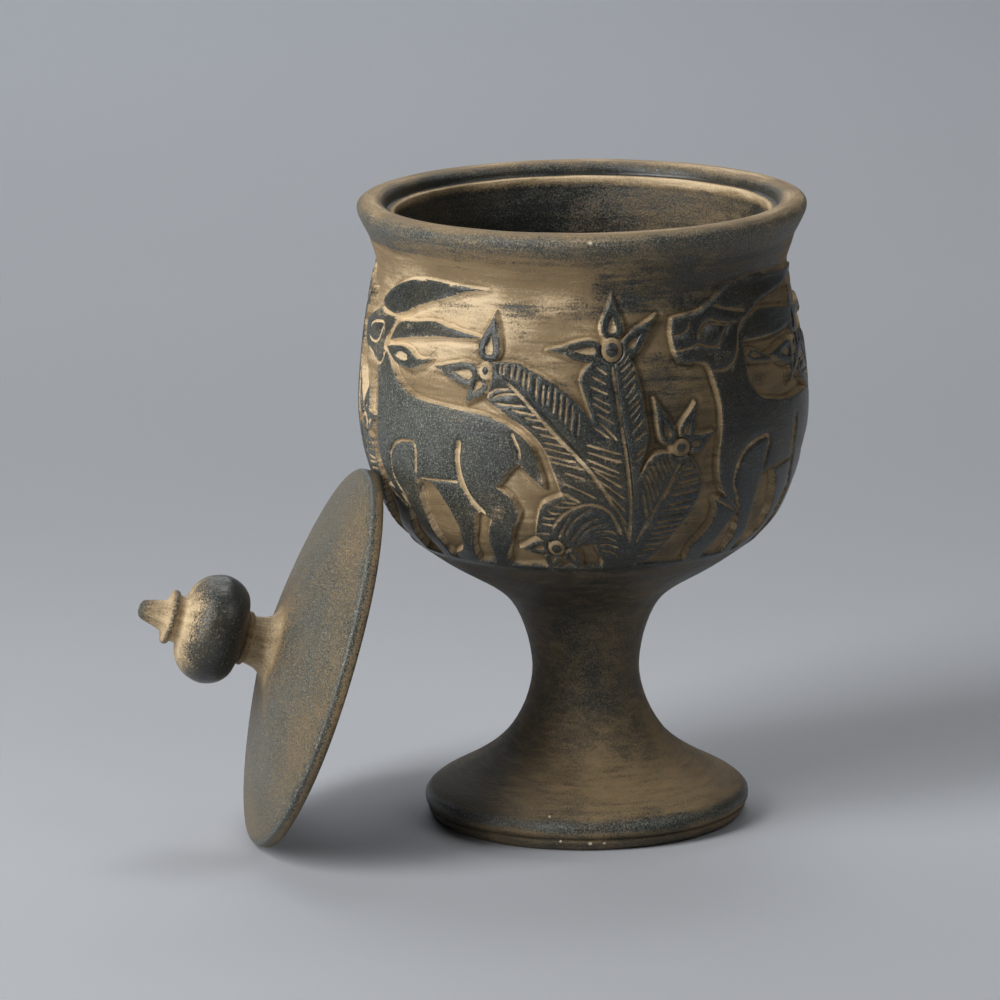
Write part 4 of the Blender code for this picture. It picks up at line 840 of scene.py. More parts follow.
def carve_frieze(columns, rows, carving):
    """Depths of the whole band, and how its patina lies, with painted shade in the creases round the shapes and, in
    part, on the band's right side.
    """
    sheet = Sheet()
    sizes = {key: getattr(carving, key) / MM for key in CARVING_SIZES}
    relief = Relief(sheet, columns, rows)
    relief.add_shapes(raised_shapes(sheet))
    for number, turned_by in enumerate(PLANT_TURNS):
        carve_plant(relief, turned_by, 31 + number, sizes)
    for turned_by, kind in ANTELOPES:
        carve_antelope(relief, turned_by, kind)
    x, y = relief.x, relief.y
    height = np.interp(y, sheet.climb, sheet.heights)[:, None]

    def uneven(wide, tall, seed):
        return soft_noise(x, y, wide, tall, seed, sheet.girth)

    fade = soft_step((BAND_TOP - height) / (FADE_LENGTH * MM))
    away = np.where(relief.raised, relief.edge, -relief.edge)
    wobble = uneven(6.0, 5.0, 3)
    slope = soft_step((SLOPE_IN - away + EDGE_WOBBLE * wobble) / (SLOPE_IN + sizes["slope"]))
    outside = np.clip(-away, 0, 9)
    tooling = uneven(9.0, 1.6, 5) + 0.8 * uneven(4.0, 3.5, 6)
    trench = TRENCH[0] * hump(outside, TRENCH[1], TRENCH[2])
    swell = SWELL[0] * soft_step((outside - SWELL[1]) / SWELL[2])
    ground = sizes["ground_depth"] + trench - swell
    ground = ground + TOOL_MARKS * tooling + GROUND_WAVES * uneven(17.0, 12.0, 8)
    ledge = soft_step((y - LEDGE[0]) / LEDGE[1])[:, None]
    rounding = ROUNDING[0] * np.exp(-np.clip(away, 0, None) / ROUNDING[1]) * (away > 0) * fade
    deep = slope * ground * fade * ledge
    on_figure = 1 - soft_step(slope * 1.3)
    deep = deep + relief.cut * on_figure + rounding

    low = soft_step((DUST_EDGE[0] - away + DUST_EDGE[1] * wobble) / DUST_EDGE[2])
    low = low * soft_step((y - 0.3) / 1.8)[:, None] * (0.25 + 0.75 * fade)
    cut = relief.tan * on_figure
    turn = np.broadcast_to((x / sheet.girth * 360.0)[None, :], deep.shape)
    up = np.broadcast_to(height, deep.shape)
    over = soft_step((up / MM - NECK_START[0]) / NECK_START[1])
    neck_dust = painted(turn, up, NECK_PATCHES, NECK_DUST)
    ground_dust = between(painted(turn, up, GROUND_PATCHES, GROUND_DUST), neck_dust, over)
    figure_dust = painted(turn, up, FIGURE_PATCHES, FIGURE_DUST)
    dust = between(figure_dust, np.maximum(ground_dust, figure_dust), np.maximum(low, over * (1 - relief.raised)))
    dust = np.maximum(dust, cut * CUT_DUST)

    lit_edge = LIT_EDGE[0] + LIT_EDGE[1] * uneven(11.0, 9.0, 15)
    tone = painted(turn, up, TONE_PATCHES, BAND_TONE) + CUT_TONE * cut + lit_edge * hump(away, *LIT_EDGE[2:])
    # Painted shade in the crease at the foot of each shape's side
    tone = tone - CREASE_SHADE[0] * hump(away, *CREASE_SHADE[1:])
    tone = tone - OPEN_GROUND[0] * soft_step((outside - OPEN_GROUND[1]) / OPEN_GROUND[2])
    tone = tone + TONE_CLOUDS * uneven(14.0, 9.0, 16)
    rubbed = RUBBED_EDGE[0] * hump(np.clip(away, 0, None), 0.0, RUBBED_EDGE[1]) * relief.raised
    return {
        "depth": deep * MM,
        "dust": dust,
        "tone": tone,
        "wear": painted(turn, up, WEAR_PATCHES, BAND_WEAR) + rubbed,
        "brushed": np.full(deep.shape, BRUSHED),
        "mottle": between(np.full(deep.shape, GROUND_MOTTLE), NECK_MOTTLE, over),
    }


# Meshes

def sheet_rows(columns, climbs):
    """Flat points in rows: columns spaces across, and one row at each share of the outline's length."""
    across, up = np.meshgrid(np.arange(columns + 1) / columns, climbs)
    return np.stack([across.ravel(), up.ravel()], axis=1)


def grid_faces(first, columns, rows):
    """Corners of the quads of a grid whose rows hold columns + 1 points."""
    row = np.arange(rows - 1)[:, None] * (columns + 1)
    corner = first + row + np.arange(columns)[None, :]
    return np.stack([corner, corner + 1, corner + columns + 2, corner + columns + 1], axis=2).reshape(-1, 4)


def join_faces(coarse_row, fine_row, coarse, fine, coarse_below):
    """Faces between a row of few points and a row of many."""
    ratio = fine // coarse
    few = coarse_row + np.arange(coarse)[:, None]
    many = fine_row + np.arange(coarse)[:, None] * ratio + np.arange(ratio + 1)[None, :]
    if coarse_below:
        return np.hstack([few, few + 1, many[:, ::-1]])
    return np.hstack([many, few + 1, few])


def flat_sheet(name, points, groups, values):
    """A mesh from flat points and groups of faces, with a value of each name at each point."""
    mesh = bpy.data.meshes.new(name)
    mesh.vertices.add(len(points))
    mesh.vertices.foreach_set("co", np.hstack([points, np.zeros((len(points), 1))]).astype(np.float32).ravel())
    corners = np.concatenate([group.ravel() for group in groups]).astype(np.int32)
    sizes = np.concatenate([np.full(len(group), group.shape[1]) for group in groups])
    mesh.loops.add(len(corners))
    mesh.loops.foreach_set("vertex_index", corners)
    mesh.polygons.add(len(sizes))
    mesh.polygons.foreach_set("loop_start", (np.cumsum(sizes) - sizes).astype(np.int32))
    mesh.update(calc_edges=True)
    mesh.uv_layers.new(name="OFBake").data.foreach_set("uv", points[corners].astype(np.float32).ravel())
    for key, value in values.items():
        if value.ndim == 1:
            mesh.attributes.new(key, "FLOAT", "POINT").data.foreach_set("value", value.astype(np.float32))
        else:
            attribute = mesh.attributes.new(key, "FLOAT_VECTOR", "POINT")
            attribute.data.foreach_set("vector", value.astype(np.float32).ravel())
    return mesh


def lathe_places(points, length):
    """Places for patterns that follow the turning: they close round the piece, and climb its outline in metres."""
    angle = 2 * math.pi * points[:, 0]
    return np.stack([np.cos(angle), np.sin(angle), points[:, 1] * length], axis=1)


def painted(turn, height, patches, base):
    """A base value with soft patches added: turn, height in millimetres, half width, half height and amount."""
    value = np.broadcast_to(base, turn.shape).astype(float)
    for patch_turn, patch_height, half_width, half_height, amount in patches:
        away = (turn - patch_turn + 180.0) % 360.0 - 180.0
        value = value + amount * np.exp(-(away / half_width) ** 2 - ((height / MM - patch_height) / half_height) ** 2)
    return value


def turned_finish(points, shares, outline, stops, patches):
    """Dust, tone, wear and brushing at each point, from stops along the outline and soft patches, some of which are
    painted light and shade.
    """
    at = []
    for radius, height, *_ in stops:
        gap = np.hypot(outline[:, 0] - radius * MM, outline[:, 1] - height * MM)
        at.append(shares[gap.argmin()])
    order = np.argsort(at)
    values = {}
    for column, key in enumerate(("dust", "tone", "wear", "brushed"), start=2):
        values[key] = np.interp(points[:, 1], np.array(at)[order], np.array([stop[column] for stop in stops])[order])
    values["mottle"] = np.full(len(points), TURNED_MOTTLE)
    # The sheet's left edge lies at the back
    turn = points[:, 0] * 360.0 - 180.0
    height = np.interp(points[:, 1], shares, outline[:, 1])
    values["dust"] = painted(turn, height, [patch[:5] for patch in patches], values["dust"])
    values["tone"] = painted(turn, height, [patch[:4] + patch[5:] for patch in patches], values["tone"])
    return values


def turned_noise(points, length, around, tall, seed):
    """Unevenness of a hand-turned surface at each point, from -1 to 1."""
    random = np.random.RandomState(seed)
    angle = 2 * math.pi * points[:, 0]
    value = np.zeros(len(points))
    for _ in range(8):
        waves = random.randint(1, int(around))
        climb = points[:, 1] * length / tall * random.uniform(0.4, 1.6)
        value += np.cos(waves * angle + random.uniform(0, 6.3)) * np.cos(climb + random.uniform(0, 6.3)) / 3.0
    smooth = soft_step(np.minimum(points[:, 1], 1 - points[:, 1]) * 8.0)
    return np.clip(value, -1, 1) * smooth


def outline_object(name, outline):
    """The turned outline as a curve in the XZ plane."""
    curve = bpy.data.curves.new(name, "CURVE")
    curve.dimensions = "3D"
    spline = curve.splines.new("POLY")
    spline.points.add(len(outline) - 1)
    for point, (radius, height) in zip(spline.points, outline):
        point.co = (radius, 0.0, height, 1.0)
    made = bpy.data.objects.new(name, curve)
    bpy.context.scene.collection.objects.link(made)
    return made


def add_node(tree, kind, inputs=(), **settings):
    """A node with its settings, and its inputs set to values or linked to sockets."""
    node = tree.nodes.new(kind)
    for key, value in settings.items():
        setattr(node, key, value)
    for key, value in dict(inputs).items():
        if isinstance(value, bpy.types.NodeSocket):
            tree.links.new(value, node.inputs[key])
        else:
            node.inputs[key].default_value = value
    return node


TURNING = "turn a sheet on its outline"
# Points closer than this, in metres, become one: at the seam and at the poles
WELD_DISTANCE = 2e-6


def turning_tree():
    """Geometry nodes that wrap a flat sheet round a turned outline, sunk by its depth."""
    tree = bpy.data.node_groups.new(TURNING, "GeometryNodeTree")
    for label, kind in (("Geometry", "Geometry"), ("Outline", "Object"), ("Seam angle", "Float"), ("Weld", "Float"),
                        ("Stone", "Material")):
        tree.interface.new_socket(label, in_out="INPUT", socket_type="NodeSocket" + kind)
    tree.interface.new_socket("Geometry", in_out="OUTPUT", socket_type="NodeSocketGeometry")
    given = add_node(tree, "NodeGroupInput").outputs
    place = add_node(tree, "ShaderNodeSeparateXYZ", {0: add_node(tree, "GeometryNodeInputPosition").outputs[0]}).outputs
    outline = add_node(tree, "GeometryNodeObjectInfo", {"Object": given["Outline"]}).outputs["Geometry"]
    sample = add_node(tree, "GeometryNodeSampleCurve", {"Curves": outline, "Factor": place["Y"]}, mode="FACTOR").outputs
    at = add_node(tree, "ShaderNodeSeparateXYZ", {0: sample["Position"]}).outputs
    along = add_node(tree, "ShaderNodeSeparateXYZ", {0: sample["Tangent"]}).outputs
    depth = add_node(tree, "GeometryNodeInputNamedAttribute", {"Name": "depth"}).outputs["Attribute"]

    sunk = math_node(tree, "MULTIPLY", depth, -1.0)
    radius = math_node(tree, "MULTIPLY_ADD", along["Z"], sunk, at["X"])
    height = math_node(tree, "MULTIPLY_ADD", along["X"], depth, at["Z"])
    angle = math_node(tree, "MULTIPLY_ADD", place["X"], 2 * math.pi, given["Seam angle"])
    wrapped = add_node(tree, "ShaderNodeCombineXYZ", {
        "X": math_node(tree, "MULTIPLY", radius, math_node(tree, "COSINE", angle)),
        "Y": math_node(tree, "MULTIPLY", radius, math_node(tree, "SINE", angle)),
        "Z": height}).outputs[0]
    moved = add_node(tree, "GeometryNodeSetPosition", {"Geometry": given["Geometry"], "Position": wrapped}).outputs[0]
    welded = add_node(tree, "GeometryNodeMergeByDistance", {"Geometry": moved, "Distance": given["Weld"]}).outputs[0]
    smooth = add_node(tree, "GeometryNodeSetShadeSmooth", {"Geometry": welded}).outputs[0]
    real = add_node(tree, "GeometryNodeRealizeInstances", {"Geometry": smooth}).outputs[0]
    stone = add_node(tree, "GeometryNodeSetMaterial", {"Geometry": real, "Material": given["Stone"]}).outputs[0]
    add_node(tree, "NodeGroupOutput", {"Geometry": stone})
    return tree


def set_input(modifier, label, value):
    """Sets a modifier's input by the identifier of the socket that has this name."""
    for item in modifier.node_group.interface.items_tree:
        if item.item_type == "SOCKET" and item.in_out == "INPUT" and item.name == label:
            modifier[item.identifier] = value
            return
    raise KeyError(label)


def as_evaluated(piece):
    """Gives a piece the mesh that its modifiers make, and removes them."""
    graph = bpy.context.evaluated_depsgraph_get()
    made = bpy.data.meshes.new_from_object(piece.evaluated_get(graph), depsgraph=graph)
    before = piece.data
    piece.modifiers.clear()
    piece.data = made
    bpy.data.meshes.remove(before)


def turned_piece(name, mesh, outline, material, seam_angle=math.pi / 2):
    """A plain mesh piece: the flat sheet wrapped round its outline."""
    piece = bpy.data.objects.new(name, mesh)
    bpy.context.scene.collection.objects.link(piece)
    curve = outline_object(name + "_outline", outline)
    wrap = piece.modifiers.new("turn", "NODES")
    wrap.node_group = bpy.data.node_groups.get(TURNING) or turning_tree()
    set_input(wrap, "Outline", curve)
    set_input(wrap, "Seam angle", seam_angle)
    set_input(wrap, "Weld", WELD_DISTANCE)
    set_input(wrap, "Stone", material)
    as_evaluated(piece)
    curve_data = curve.data
    bpy.data.objects.remove(curve)
    bpy.data.curves.remove(curve_data)
    return piece


def thin_out(piece, triangles):
    """Takes triangles out of the carved band where it is plain, and leaves the rest of the piece as it is."""
    count = sum(len(face.vertices) - 2 for face in piece.data.polygons)
    if count <= triangles:
        return
    band = np.empty(len(piece.data.vertices), np.float32)
    piece.data.attributes["band"].data.foreach_get("value", band)
    group = piece.vertex_groups.new(name="band")
    group.add(np.nonzero(band > 0.5)[0].tolist(), 1.0, "REPLACE")
    thin = piece.modifiers.new("thin", "DECIMATE")
    thin.ratio = triangles / count
    thin.vertex_group = "band"
    as_evaluated(piece)
    piece.vertex_groups.clear()


# Materials

# How fine the patterns are, as a noise scale for Object coordinates in metres
GRAIN_SCALE = 1300.0
SPECK_SCALE = 1500.0
CLOUD_SCALE = 26.0
CHIP_SCALE = 900.0
# Patina starts and is full at these values of dust and rubbing
COVER_RANGE = (0.28, 0.72)
DULL_SHINE = 0.42
BUMP_STRENGTH = 0.7


def math_node(tree, kind, first, second=0.0, third=0.0, clamped=False):
    node = add_node(tree, "ShaderNodeMath", {0: first, 1: second, 2: third}, operation=kind)
    node.use_clamp = clamped
    return node.outputs[0]


def noise(tree, coordinates, scale, detail=3.0, rough=0.55, distortion=0.0):
    return add_node(tree, "ShaderNodeTexNoise", {"Vector": coordinates, "Scale": scale, "Detail": detail,
                                                 "Roughness": rough, "Distortion": distortion}).outputs["Fac"]


def ranged(tree, value, low, high, to_low=0.0, to_high=1.0):
    """A value brought from one range to another with soft ends."""
    return add_node(tree, "ShaderNodeMapRange", {"Value": value, "From Min": low, "From Max": high, "To Min": to_low,
                                                 "To Max": to_high}, interpolation_type="SMOOTHSTEP").outputs["Result"]


def mixed(tree, share, first, second, blend="MIX"):
    """A mix of two colours."""
    node = add_node(tree, "ShaderNodeMix", data_type="RGBA", blend_type=blend)
    for socket, value in ((node.inputs["Factor"], share), (node.inputs["A"], first), (node.inputs["B"], second)):
        if isinstance(value, bpy.types.NodeSocket):
            tree.links.new(value, socket)
        else:
            socket.default_value = value
    return node.outputs["Result"]


def new_group(name, inputs, outputs):
    """A shader node group with named sockets: its tree, its inputs and its output node."""
    tree = bpy.data.node_groups.new(name, "ShaderNodeTree")
    for label, kind, value in inputs:
        socket = tree.interface.new_socket(label, in_out="INPUT", socket_type="NodeSocket" + kind)
        if value is not None:
            socket.default_value = value
    for label, kind in outputs:
        tree.interface.new_socket(label, in_out="OUTPUT", socket_type="NodeSocket" + kind)
    return tree, add_node(tree, "NodeGroupInput").outputs, add_node(tree, "NodeGroupOutput")


def weathering_group():
    """Patterns that all the stone shares: fine grain, pale specks, patches, broad clouds and brush streaks."""
    tree, given, out = new_group(
        "stone weathering",
        (("Place", "Vector", None), ("Lathe", "Vector", None), ("Streaks round", "Float", 3.5),
         ("Streaks along", "Float", 330.0), ("Patch size", "Float", 95.0)),
        (("Grain", "Float"), ("Specks", "Float"), ("Patches", "Float"), ("Clouds", "Float"), ("Streaks", "Float")))
    grain = noise(tree, given["Place"], GRAIN_SCALE, 3.0, 0.75)
    speck_field = noise(tree, given["Place"], SPECK_SCALE, 2.0, 0.7)
    specks = ranged(tree, speck_field, 0.54, 0.66)
    patches = noise(tree, given["Place"], given["Patch size"], 6.0, 0.62, 0.4)
    clouds = noise(tree, given["Place"], CLOUD_SCALE, 3.0, 0.5, 0.3)
    stretch = add_node(tree, "ShaderNodeCombineXYZ", {"X": given["Streaks round"], "Y": given["Streaks round"],
                                                      "Z": given["Streaks along"]}).outputs[0]
    stretched = add_node(tree, "ShaderNodeVectorMath", {0: given["Lathe"], 1: stretch}, operation="MULTIPLY").outputs[0]
    streaks = noise(tree, stretched, 1.0, 4.0, 0.65, 0.5)
    for label, socket in (("Grain", grain), ("Specks", specks), ("Patches", patches), ("Clouds", clouds),
                          ("Streaks", streaks)):
        tree.links.new(socket, out.inputs[label])
    return tree


def patina_group():
    """Colour, roughness and height of dark stone under a worn tan patina."""
    tree, given, out = new_group(
        "tan patina on dark stone",
        (("Dust", "Float", 0.5), ("Tone", "Float", 0.5), ("Wear", "Float", 0.3), ("Brushed", "Float", 0.5),
         ("Mottle", "Float", 1.0), ("Speckle", "Float", 0.8), ("Chips", "Float", 0.0), ("Grain", "Float", 0.5),
         ("Specks", "Float", 0.0), ("Patches", "Float", 0.5), ("Clouds", "Float", 0.5), ("Streaks", "Float", 0.5))
        + tuple((label, "Color", None) for label in STONE_COLOURS.values()),
        (("Colour", "Color"), ("Roughness", "Float"), ("Height", "Float")))

    def calculate(kind, *values, clamped=False):
        return math_node(tree, kind, *values, clamped=clamped)

    def centred(socket, amount):
        return calculate("MULTIPLY_ADD", socket, amount, -0.5 * amount)

    rubbing = calculate("ADD", centred(given["Patches"], 1.25), centred(given["Clouds"], 0.7))
    brushing = calculate("MULTIPLY", centred(given["Streaks"], 1.5), given["Brushed"])
    rubbing = calculate("MULTIPLY", calculate("ADD", rubbing, brushing), given["Mottle"])
    rubbing = calculate("ADD", rubbing, calculate("MULTIPLY", centred(given["Grain"], 1.0), given["Speckle"]))
    cover = ranged(tree, calculate("ADD", given["Dust"], rubbing), *COVER_RANGE)
    tone = calculate("ADD", calculate("ADD", given["Tone"], centred(given["Clouds"], 0.5)),
                     calculate("ADD", centred(given["Streaks"], 0.7), centred(given["Grain"], 0.6)))
    brown = mixed(tree, ranged(tree, tone, 0.0, 0.5), given["Brown patina"], given["Tan patina"])
    patina = mixed(tree, ranged(tree, tone, 0.5, 1.0), brown, given["Pale patina"])
    worn = calculate("ADD", calculate("MULTIPLY", given["Wear"], 0.75),
                     calculate("ADD", centred(given["Grain"], 2.6), centred(given["Patches"], 0.9)))
    stone = mixed(tree, ranged(tree, worn, 0.0, 1.0), given["Deep stone"], given["Worn stone"])
    stained = calculate("MULTIPLY", ranged(tree, given["Clouds"], 0.42, 0.62), 0.30)
    stone = mixed(tree, stained, stone, given["Brown patina"])
    speckled = calculate("MULTIPLY", given["Specks"], calculate("MULTIPLY", given["Wear"], 0.85), clamped=True)
    stone = mixed(tree, speckled, stone, given["Pale specks"])
    coated = mixed(tree, cover, stone, patina)
    tree.links.new(mixed(tree, given["Chips"], coated, given["Chipped stone"]), out.inputs["Colour"])
    rubbed = calculate("MULTIPLY_ADD", given["Wear"], 0.06, 0.30)
    rough = calculate("ADD", calculate("MULTIPLY_ADD", cover, 0.34, rubbed), centred(given["Grain"], 0.25))
    tree.links.new(rough, out.inputs["Roughness"])
    polish = calculate("MULTIPLY_ADD", given["Wear"], 0.6, calculate("MULTIPLY_ADD", cover, 0.2, 0.14), clamped=True)
    height = calculate("ADD", calculate("MULTIPLY", given["Grain"], polish),
                       calculate("ADD", calculate("MULTIPLY", given["Streaks"], 0.6),
                                 calculate("MULTIPLY", cover, 0.25)))
    tree.links.new(height, out.inputs["Height"])
    return tree


def chip_mask(tree, place, chips):
    """Where small chips show fresh stone, with ragged outlines."""
    ragged = noise(tree, place, CHIP_SCALE, 2.0)
    mask = 0.0
    for radius, turn, height, size in chips:
        turn = math.radians(turn)
        centre = Vector((radius * math.sin(turn), -radius * math.cos(turn), height)) * MM
        away = add_node(tree, "ShaderNodeVectorMath", {0: place, 1: centre}, operation="DISTANCE").outputs["Value"]
        frayed = math_node(tree, "MULTIPLY_ADD", ragged, 1.6 * size * MM, away)
        near = ranged(tree, frayed, 1.4 * size * MM, 1.7 * size * MM, 1.0, 0.0)
        mask = math_node(tree, "MAXIMUM", near, mask)
    return mask


def stone_material(name, stone, streaks_round, streaks_along, patch_size, speckle, chips=()):
    """Worn soapstone whose patina follows the piece's own attributes."""
    material = bpy.data.materials.new(name)
    material.use_nodes = True
    tree = material.node_tree
    shader = tree.nodes["Principled BSDF"]
    shader.inputs["Specular IOR Level"].default_value = DULL_SHINE
    place = add_node(tree, "ShaderNodeTexCoord").outputs["Object"]
    lathe = add_node(tree, "ShaderNodeAttribute", attribute_name="lathe").outputs["Vector"]
    weather = add_node(tree, "ShaderNodeGroup",
                       node_tree=bpy.data.node_groups.get("stone weathering") or weathering_group())
    for label, value in (("Streaks round", streaks_round), ("Streaks along", streaks_along),
                         ("Patch size", patch_size)):
        weather.inputs[label].default_value = value
    tree.links.new(place, weather.inputs["Place"])
    tree.links.new(lathe, weather.inputs["Lathe"])
    coat = add_node(tree, "ShaderNodeGroup",
                    node_tree=bpy.data.node_groups.get("tan patina on dark stone") or patina_group())
    for socket in weather.outputs:
        tree.links.new(socket, coat.inputs[socket.name])
    coat.inputs["Speckle"].default_value = speckle
    for key, label in STONE_COLOURS.items():
        coat.inputs[label].default_value = (*getattr(stone, key), 1.0)
    if chips:
        tree.links.new(chip_mask(tree, place, chips), coat.inputs["Chips"])
    for label in ("Dust", "Tone", "Wear", "Brushed", "Mottle"):
        attribute = add_node(tree, "ShaderNodeAttribute", attribute_name=label.lower())
        tree.links.new(attribute.outputs["Fac"], coat.inputs[label])
    tree.links.new(coat.outputs["Colour"], shader.inputs["Base Color"])
    tree.links.new(coat.outputs["Roughness"], shader.inputs["Roughness"])
    bump = add_node(tree, "ShaderNodeBump", {"Strength": BUMP_STRENGTH, "Distance": stone.grain_height,
                                             "Height": coat.outputs["Height"]})
    tree.links.new(bump.outputs["Normal"], shader.inputs["Normal"])
    return material


# Operators

# How far the hand-turned surfaces swell and sink, in metres
VASE_UNEVENNESS = 0.00012
LID_UNEVENNESS = 0.00010


class VASE_OT_carved_vase(bpy.types.Operator):
    """Builds the goblet: turned foot, stem and bowl, with the frieze carved round it"""

    bl_idname = "stone_vase.carved_vase"
    bl_label = "Carved vase"

    def execute(self, context):
        outline, start, end = vase_outline()
        if outline[:, 1].max() > VASE_TOP + MM:
            raise RuntimeError("The turned outline is taller than the solid")
        lengths = lengths_along(outline)
        shares = lengths / lengths[-1]
        settings = context.scene.stone_vase
        carved = carve_frieze(FINE_COLUMNS, BAND_ROWS, settings.carving)
        band_shares = np.linspace(shares[start], shares[end], BAND_ROWS)
        lower, upper = shares[:start], shares[end + 1:]
        points = np.vstack([sheet_rows(COARSE_COLUMNS, lower), sheet_rows(FINE_COLUMNS, band_shares),
                            sheet_rows(COARSE_COLUMNS, upper)])
        band_first = len(lower) * (COARSE_COLUMNS + 1)
        band_last = band_first + (BAND_ROWS - 1) * (FINE_COLUMNS + 1)
        upper_first = band_first + BAND_ROWS * (FINE_COLUMNS + 1)
        groups = [
            grid_faces(0, COARSE_COLUMNS, len(lower)),
            join_faces(band_first - COARSE_COLUMNS - 1, band_first, COARSE_COLUMNS, FINE_COLUMNS, True),
            grid_faces(band_first, FINE_COLUMNS, BAND_ROWS),
            join_faces(upper_first, band_last, COARSE_COLUMNS, FINE_COLUMNS, False),
            grid_faces(upper_first, COARSE_COLUMNS, len(upper)),
        ]
        values = turned_finish(points, shares, outline, VASE_FINISH, VASE_PATCHES)
        values["depth"] = VASE_UNEVENNESS * turned_noise(points, lengths[-1], around=22.0, tall=0.018, seed=12)
        for key, field in carved.items():
            closed = np.hstack([field, field[:, :1]])
            values[key][band_first:upper_first] = closed.ravel()
        values["lathe"] = lathe_places(points, lengths[-1])
        band = np.zeros(len(points))
        band[band_first + FINE_COLUMNS + 1:band_last] = 1.0
        values["band"] = band
        mesh = flat_sheet("carved_vase", points, groups, values)
        material = stone_material("carved stone", settings.stone, streaks_round=3.5, streaks_along=330.0,
                                  patch_size=95.0, speckle=0.8, chips=CHIPS)
        piece = turned_piece("carved_vase", mesh, outline, material)
        thin_out(piece, settings.carving.triangles)
        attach(piece, "root")
        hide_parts("vase")
        return {"FINISHED"}


def lid_matrix():
    """The leaning lid's place: its lower edge on the floor, its upper edge close to the bowl."""
    facing = Vector((math.cos(LID_FACING), math.sin(LID_FACING), 0.0))
    sideways = Vector((-facing.y, facing.x, 0.0))
    axis = facing * math.cos(LID_LEAN) + Vector((0.0, 0.0, math.sin(LID_LEAN)))
    across = sideways.cross(axis)
    return Matrix.Translation(lid_centre(facing)) @ Matrix((across, sideways, axis)).transposed().to_4x4()


def lid_centre(facing):
    """The middle of the lid's underside, found from the solid's points that lie on it."""
    points = np.array([vertex.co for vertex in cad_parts["lid"].data.vertices])
    axis = np.array(facing) * math.cos(LID_LEAN) + np.array([0.0, 0.0, math.sin(LID_LEAN)])
    under = points[points @ axis < (points @ axis).min() + 1e-6]
    return Vector((under.max(axis=0) + under.min(axis=0)) / 2)


class VASE_OT_turned_lid(bpy.types.Operator):
    """Builds the lid that leans towards the bowl: a domed disc with a turned knob"""

    bl_idname = "stone_vase.turned_lid"
    bl_label = "Turned lid"

    def execute(self, context):
        outline = lid_outline()
        lengths = lengths_along(outline)
        shares = lengths / lengths[-1]
        points = sheet_rows(COARSE_COLUMNS, shares)
        values = turned_finish(points, shares, outline, LID_FINISH, LID_PATCHES)
        values["depth"] = LID_UNEVENNESS * turned_noise(points, lengths[-1], around=9.0, tall=0.012, seed=21)
        height = np.interp(points[:, 1], shares, outline[:, 1])
        values["mottle"] = values["mottle"] + KNOB_MOTTLE * soft_step((height / MM - KNOB_START[0]) / KNOB_START[1])
        values["lathe"] = lathe_places(points, lengths[-1])
        mesh = flat_sheet("turned_lid", points, [grid_faces(0, COARSE_COLUMNS, len(outline))], values)
        material = stone_material("lid stone", context.scene.stone_vase.stone, streaks_round=3.0, streaks_along=32.0,
                                  patch_size=60.0, speckle=2.4)
        piece = turned_piece("turned_lid", mesh, outline, material)
        piece.data.transform(lid_matrix())
        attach(piece, "root")
        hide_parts("lid")
        return {"FINISHED"}


# Stage

# Painted light and shade on the floor and the wall: how much lighter or darker their colour is at distances behind the
# vase, in metres
FLOOR_PAINTED_LIGHT = ((-0.40, 1.0), (-0.20, 1.0), (-0.06, 1.05), (0.035, 1.11), (0.19, 1.05), (0.38, 0.93), (0.70, 0.86),
                (1.14, 1.0), (2.2, 1.0))
SKY_COLOUR = (0.90, 0.93, 1.0)
COOL_WHITE = (0.93, 0.96, 1.0)
CAMERA_PLACE = (0.0, -2.820, 0.756)
CAMERA_PITCH = math.radians(12.46)
CAMERA_YAW = math.radians(-0.706)
CAMERA_ROLL = math.radians(-0.659)


def add_camera(lens):
    forward = Vector((math.sin(CAMERA_YAW) * math.cos(CAMERA_PITCH), math.cos(CAMERA_YAW) * math.cos(CAMERA_PITCH),
                      -math.sin(CAMERA_PITCH)))
    right = forward.cross(Vector((0.0, 0.0, 1.0))).normalized()
    up = right.cross(forward)
    level = math.cos(CAMERA_ROLL) * right + math.sin(CAMERA_ROLL) * up
    upright = -math.sin(CAMERA_ROLL) * right + math.cos(CAMERA_ROLL) * up
    data = bpy.data.cameras.new("camera")
    data.lens = lens
    data.sensor_width = 36.0
    data.clip_end = 50.0
    camera = bpy.data.objects.new("camera", data)
    camera.matrix_world = Matrix.Translation(CAMERA_PLACE) @ Matrix((level, upright, -forward)).transposed().to_4x4()
    bpy.context.scene.collection.objects.link(camera)
    bpy.context.scene.camera = camera


def add_softbox(name, place, aim, size, power, colour=(1.0, 1.0, 1.0)):
    data = bpy.data.lights.new(name, "AREA")
    data.shape = "RECTANGLE"
    data.size, data.size_y = size
    data.energy = power
    data.color = colour
    light = bpy.data.objects.new(name, data)
    light.location = place
    light.rotation_euler = (Vector(aim) - Vector(place)).to_track_quat("-Z", "Y").to_euler()
    bpy.context.scene.collection.objects.link(light)


def light_place(turn, rise, distance):
    """A place round the vase: turn to the right of the front and rise above the floor."""
    flat = distance * math.cos(rise)
    return flat * math.sin(turn), -flat * math.cos(turn), distance * math.sin(rise)


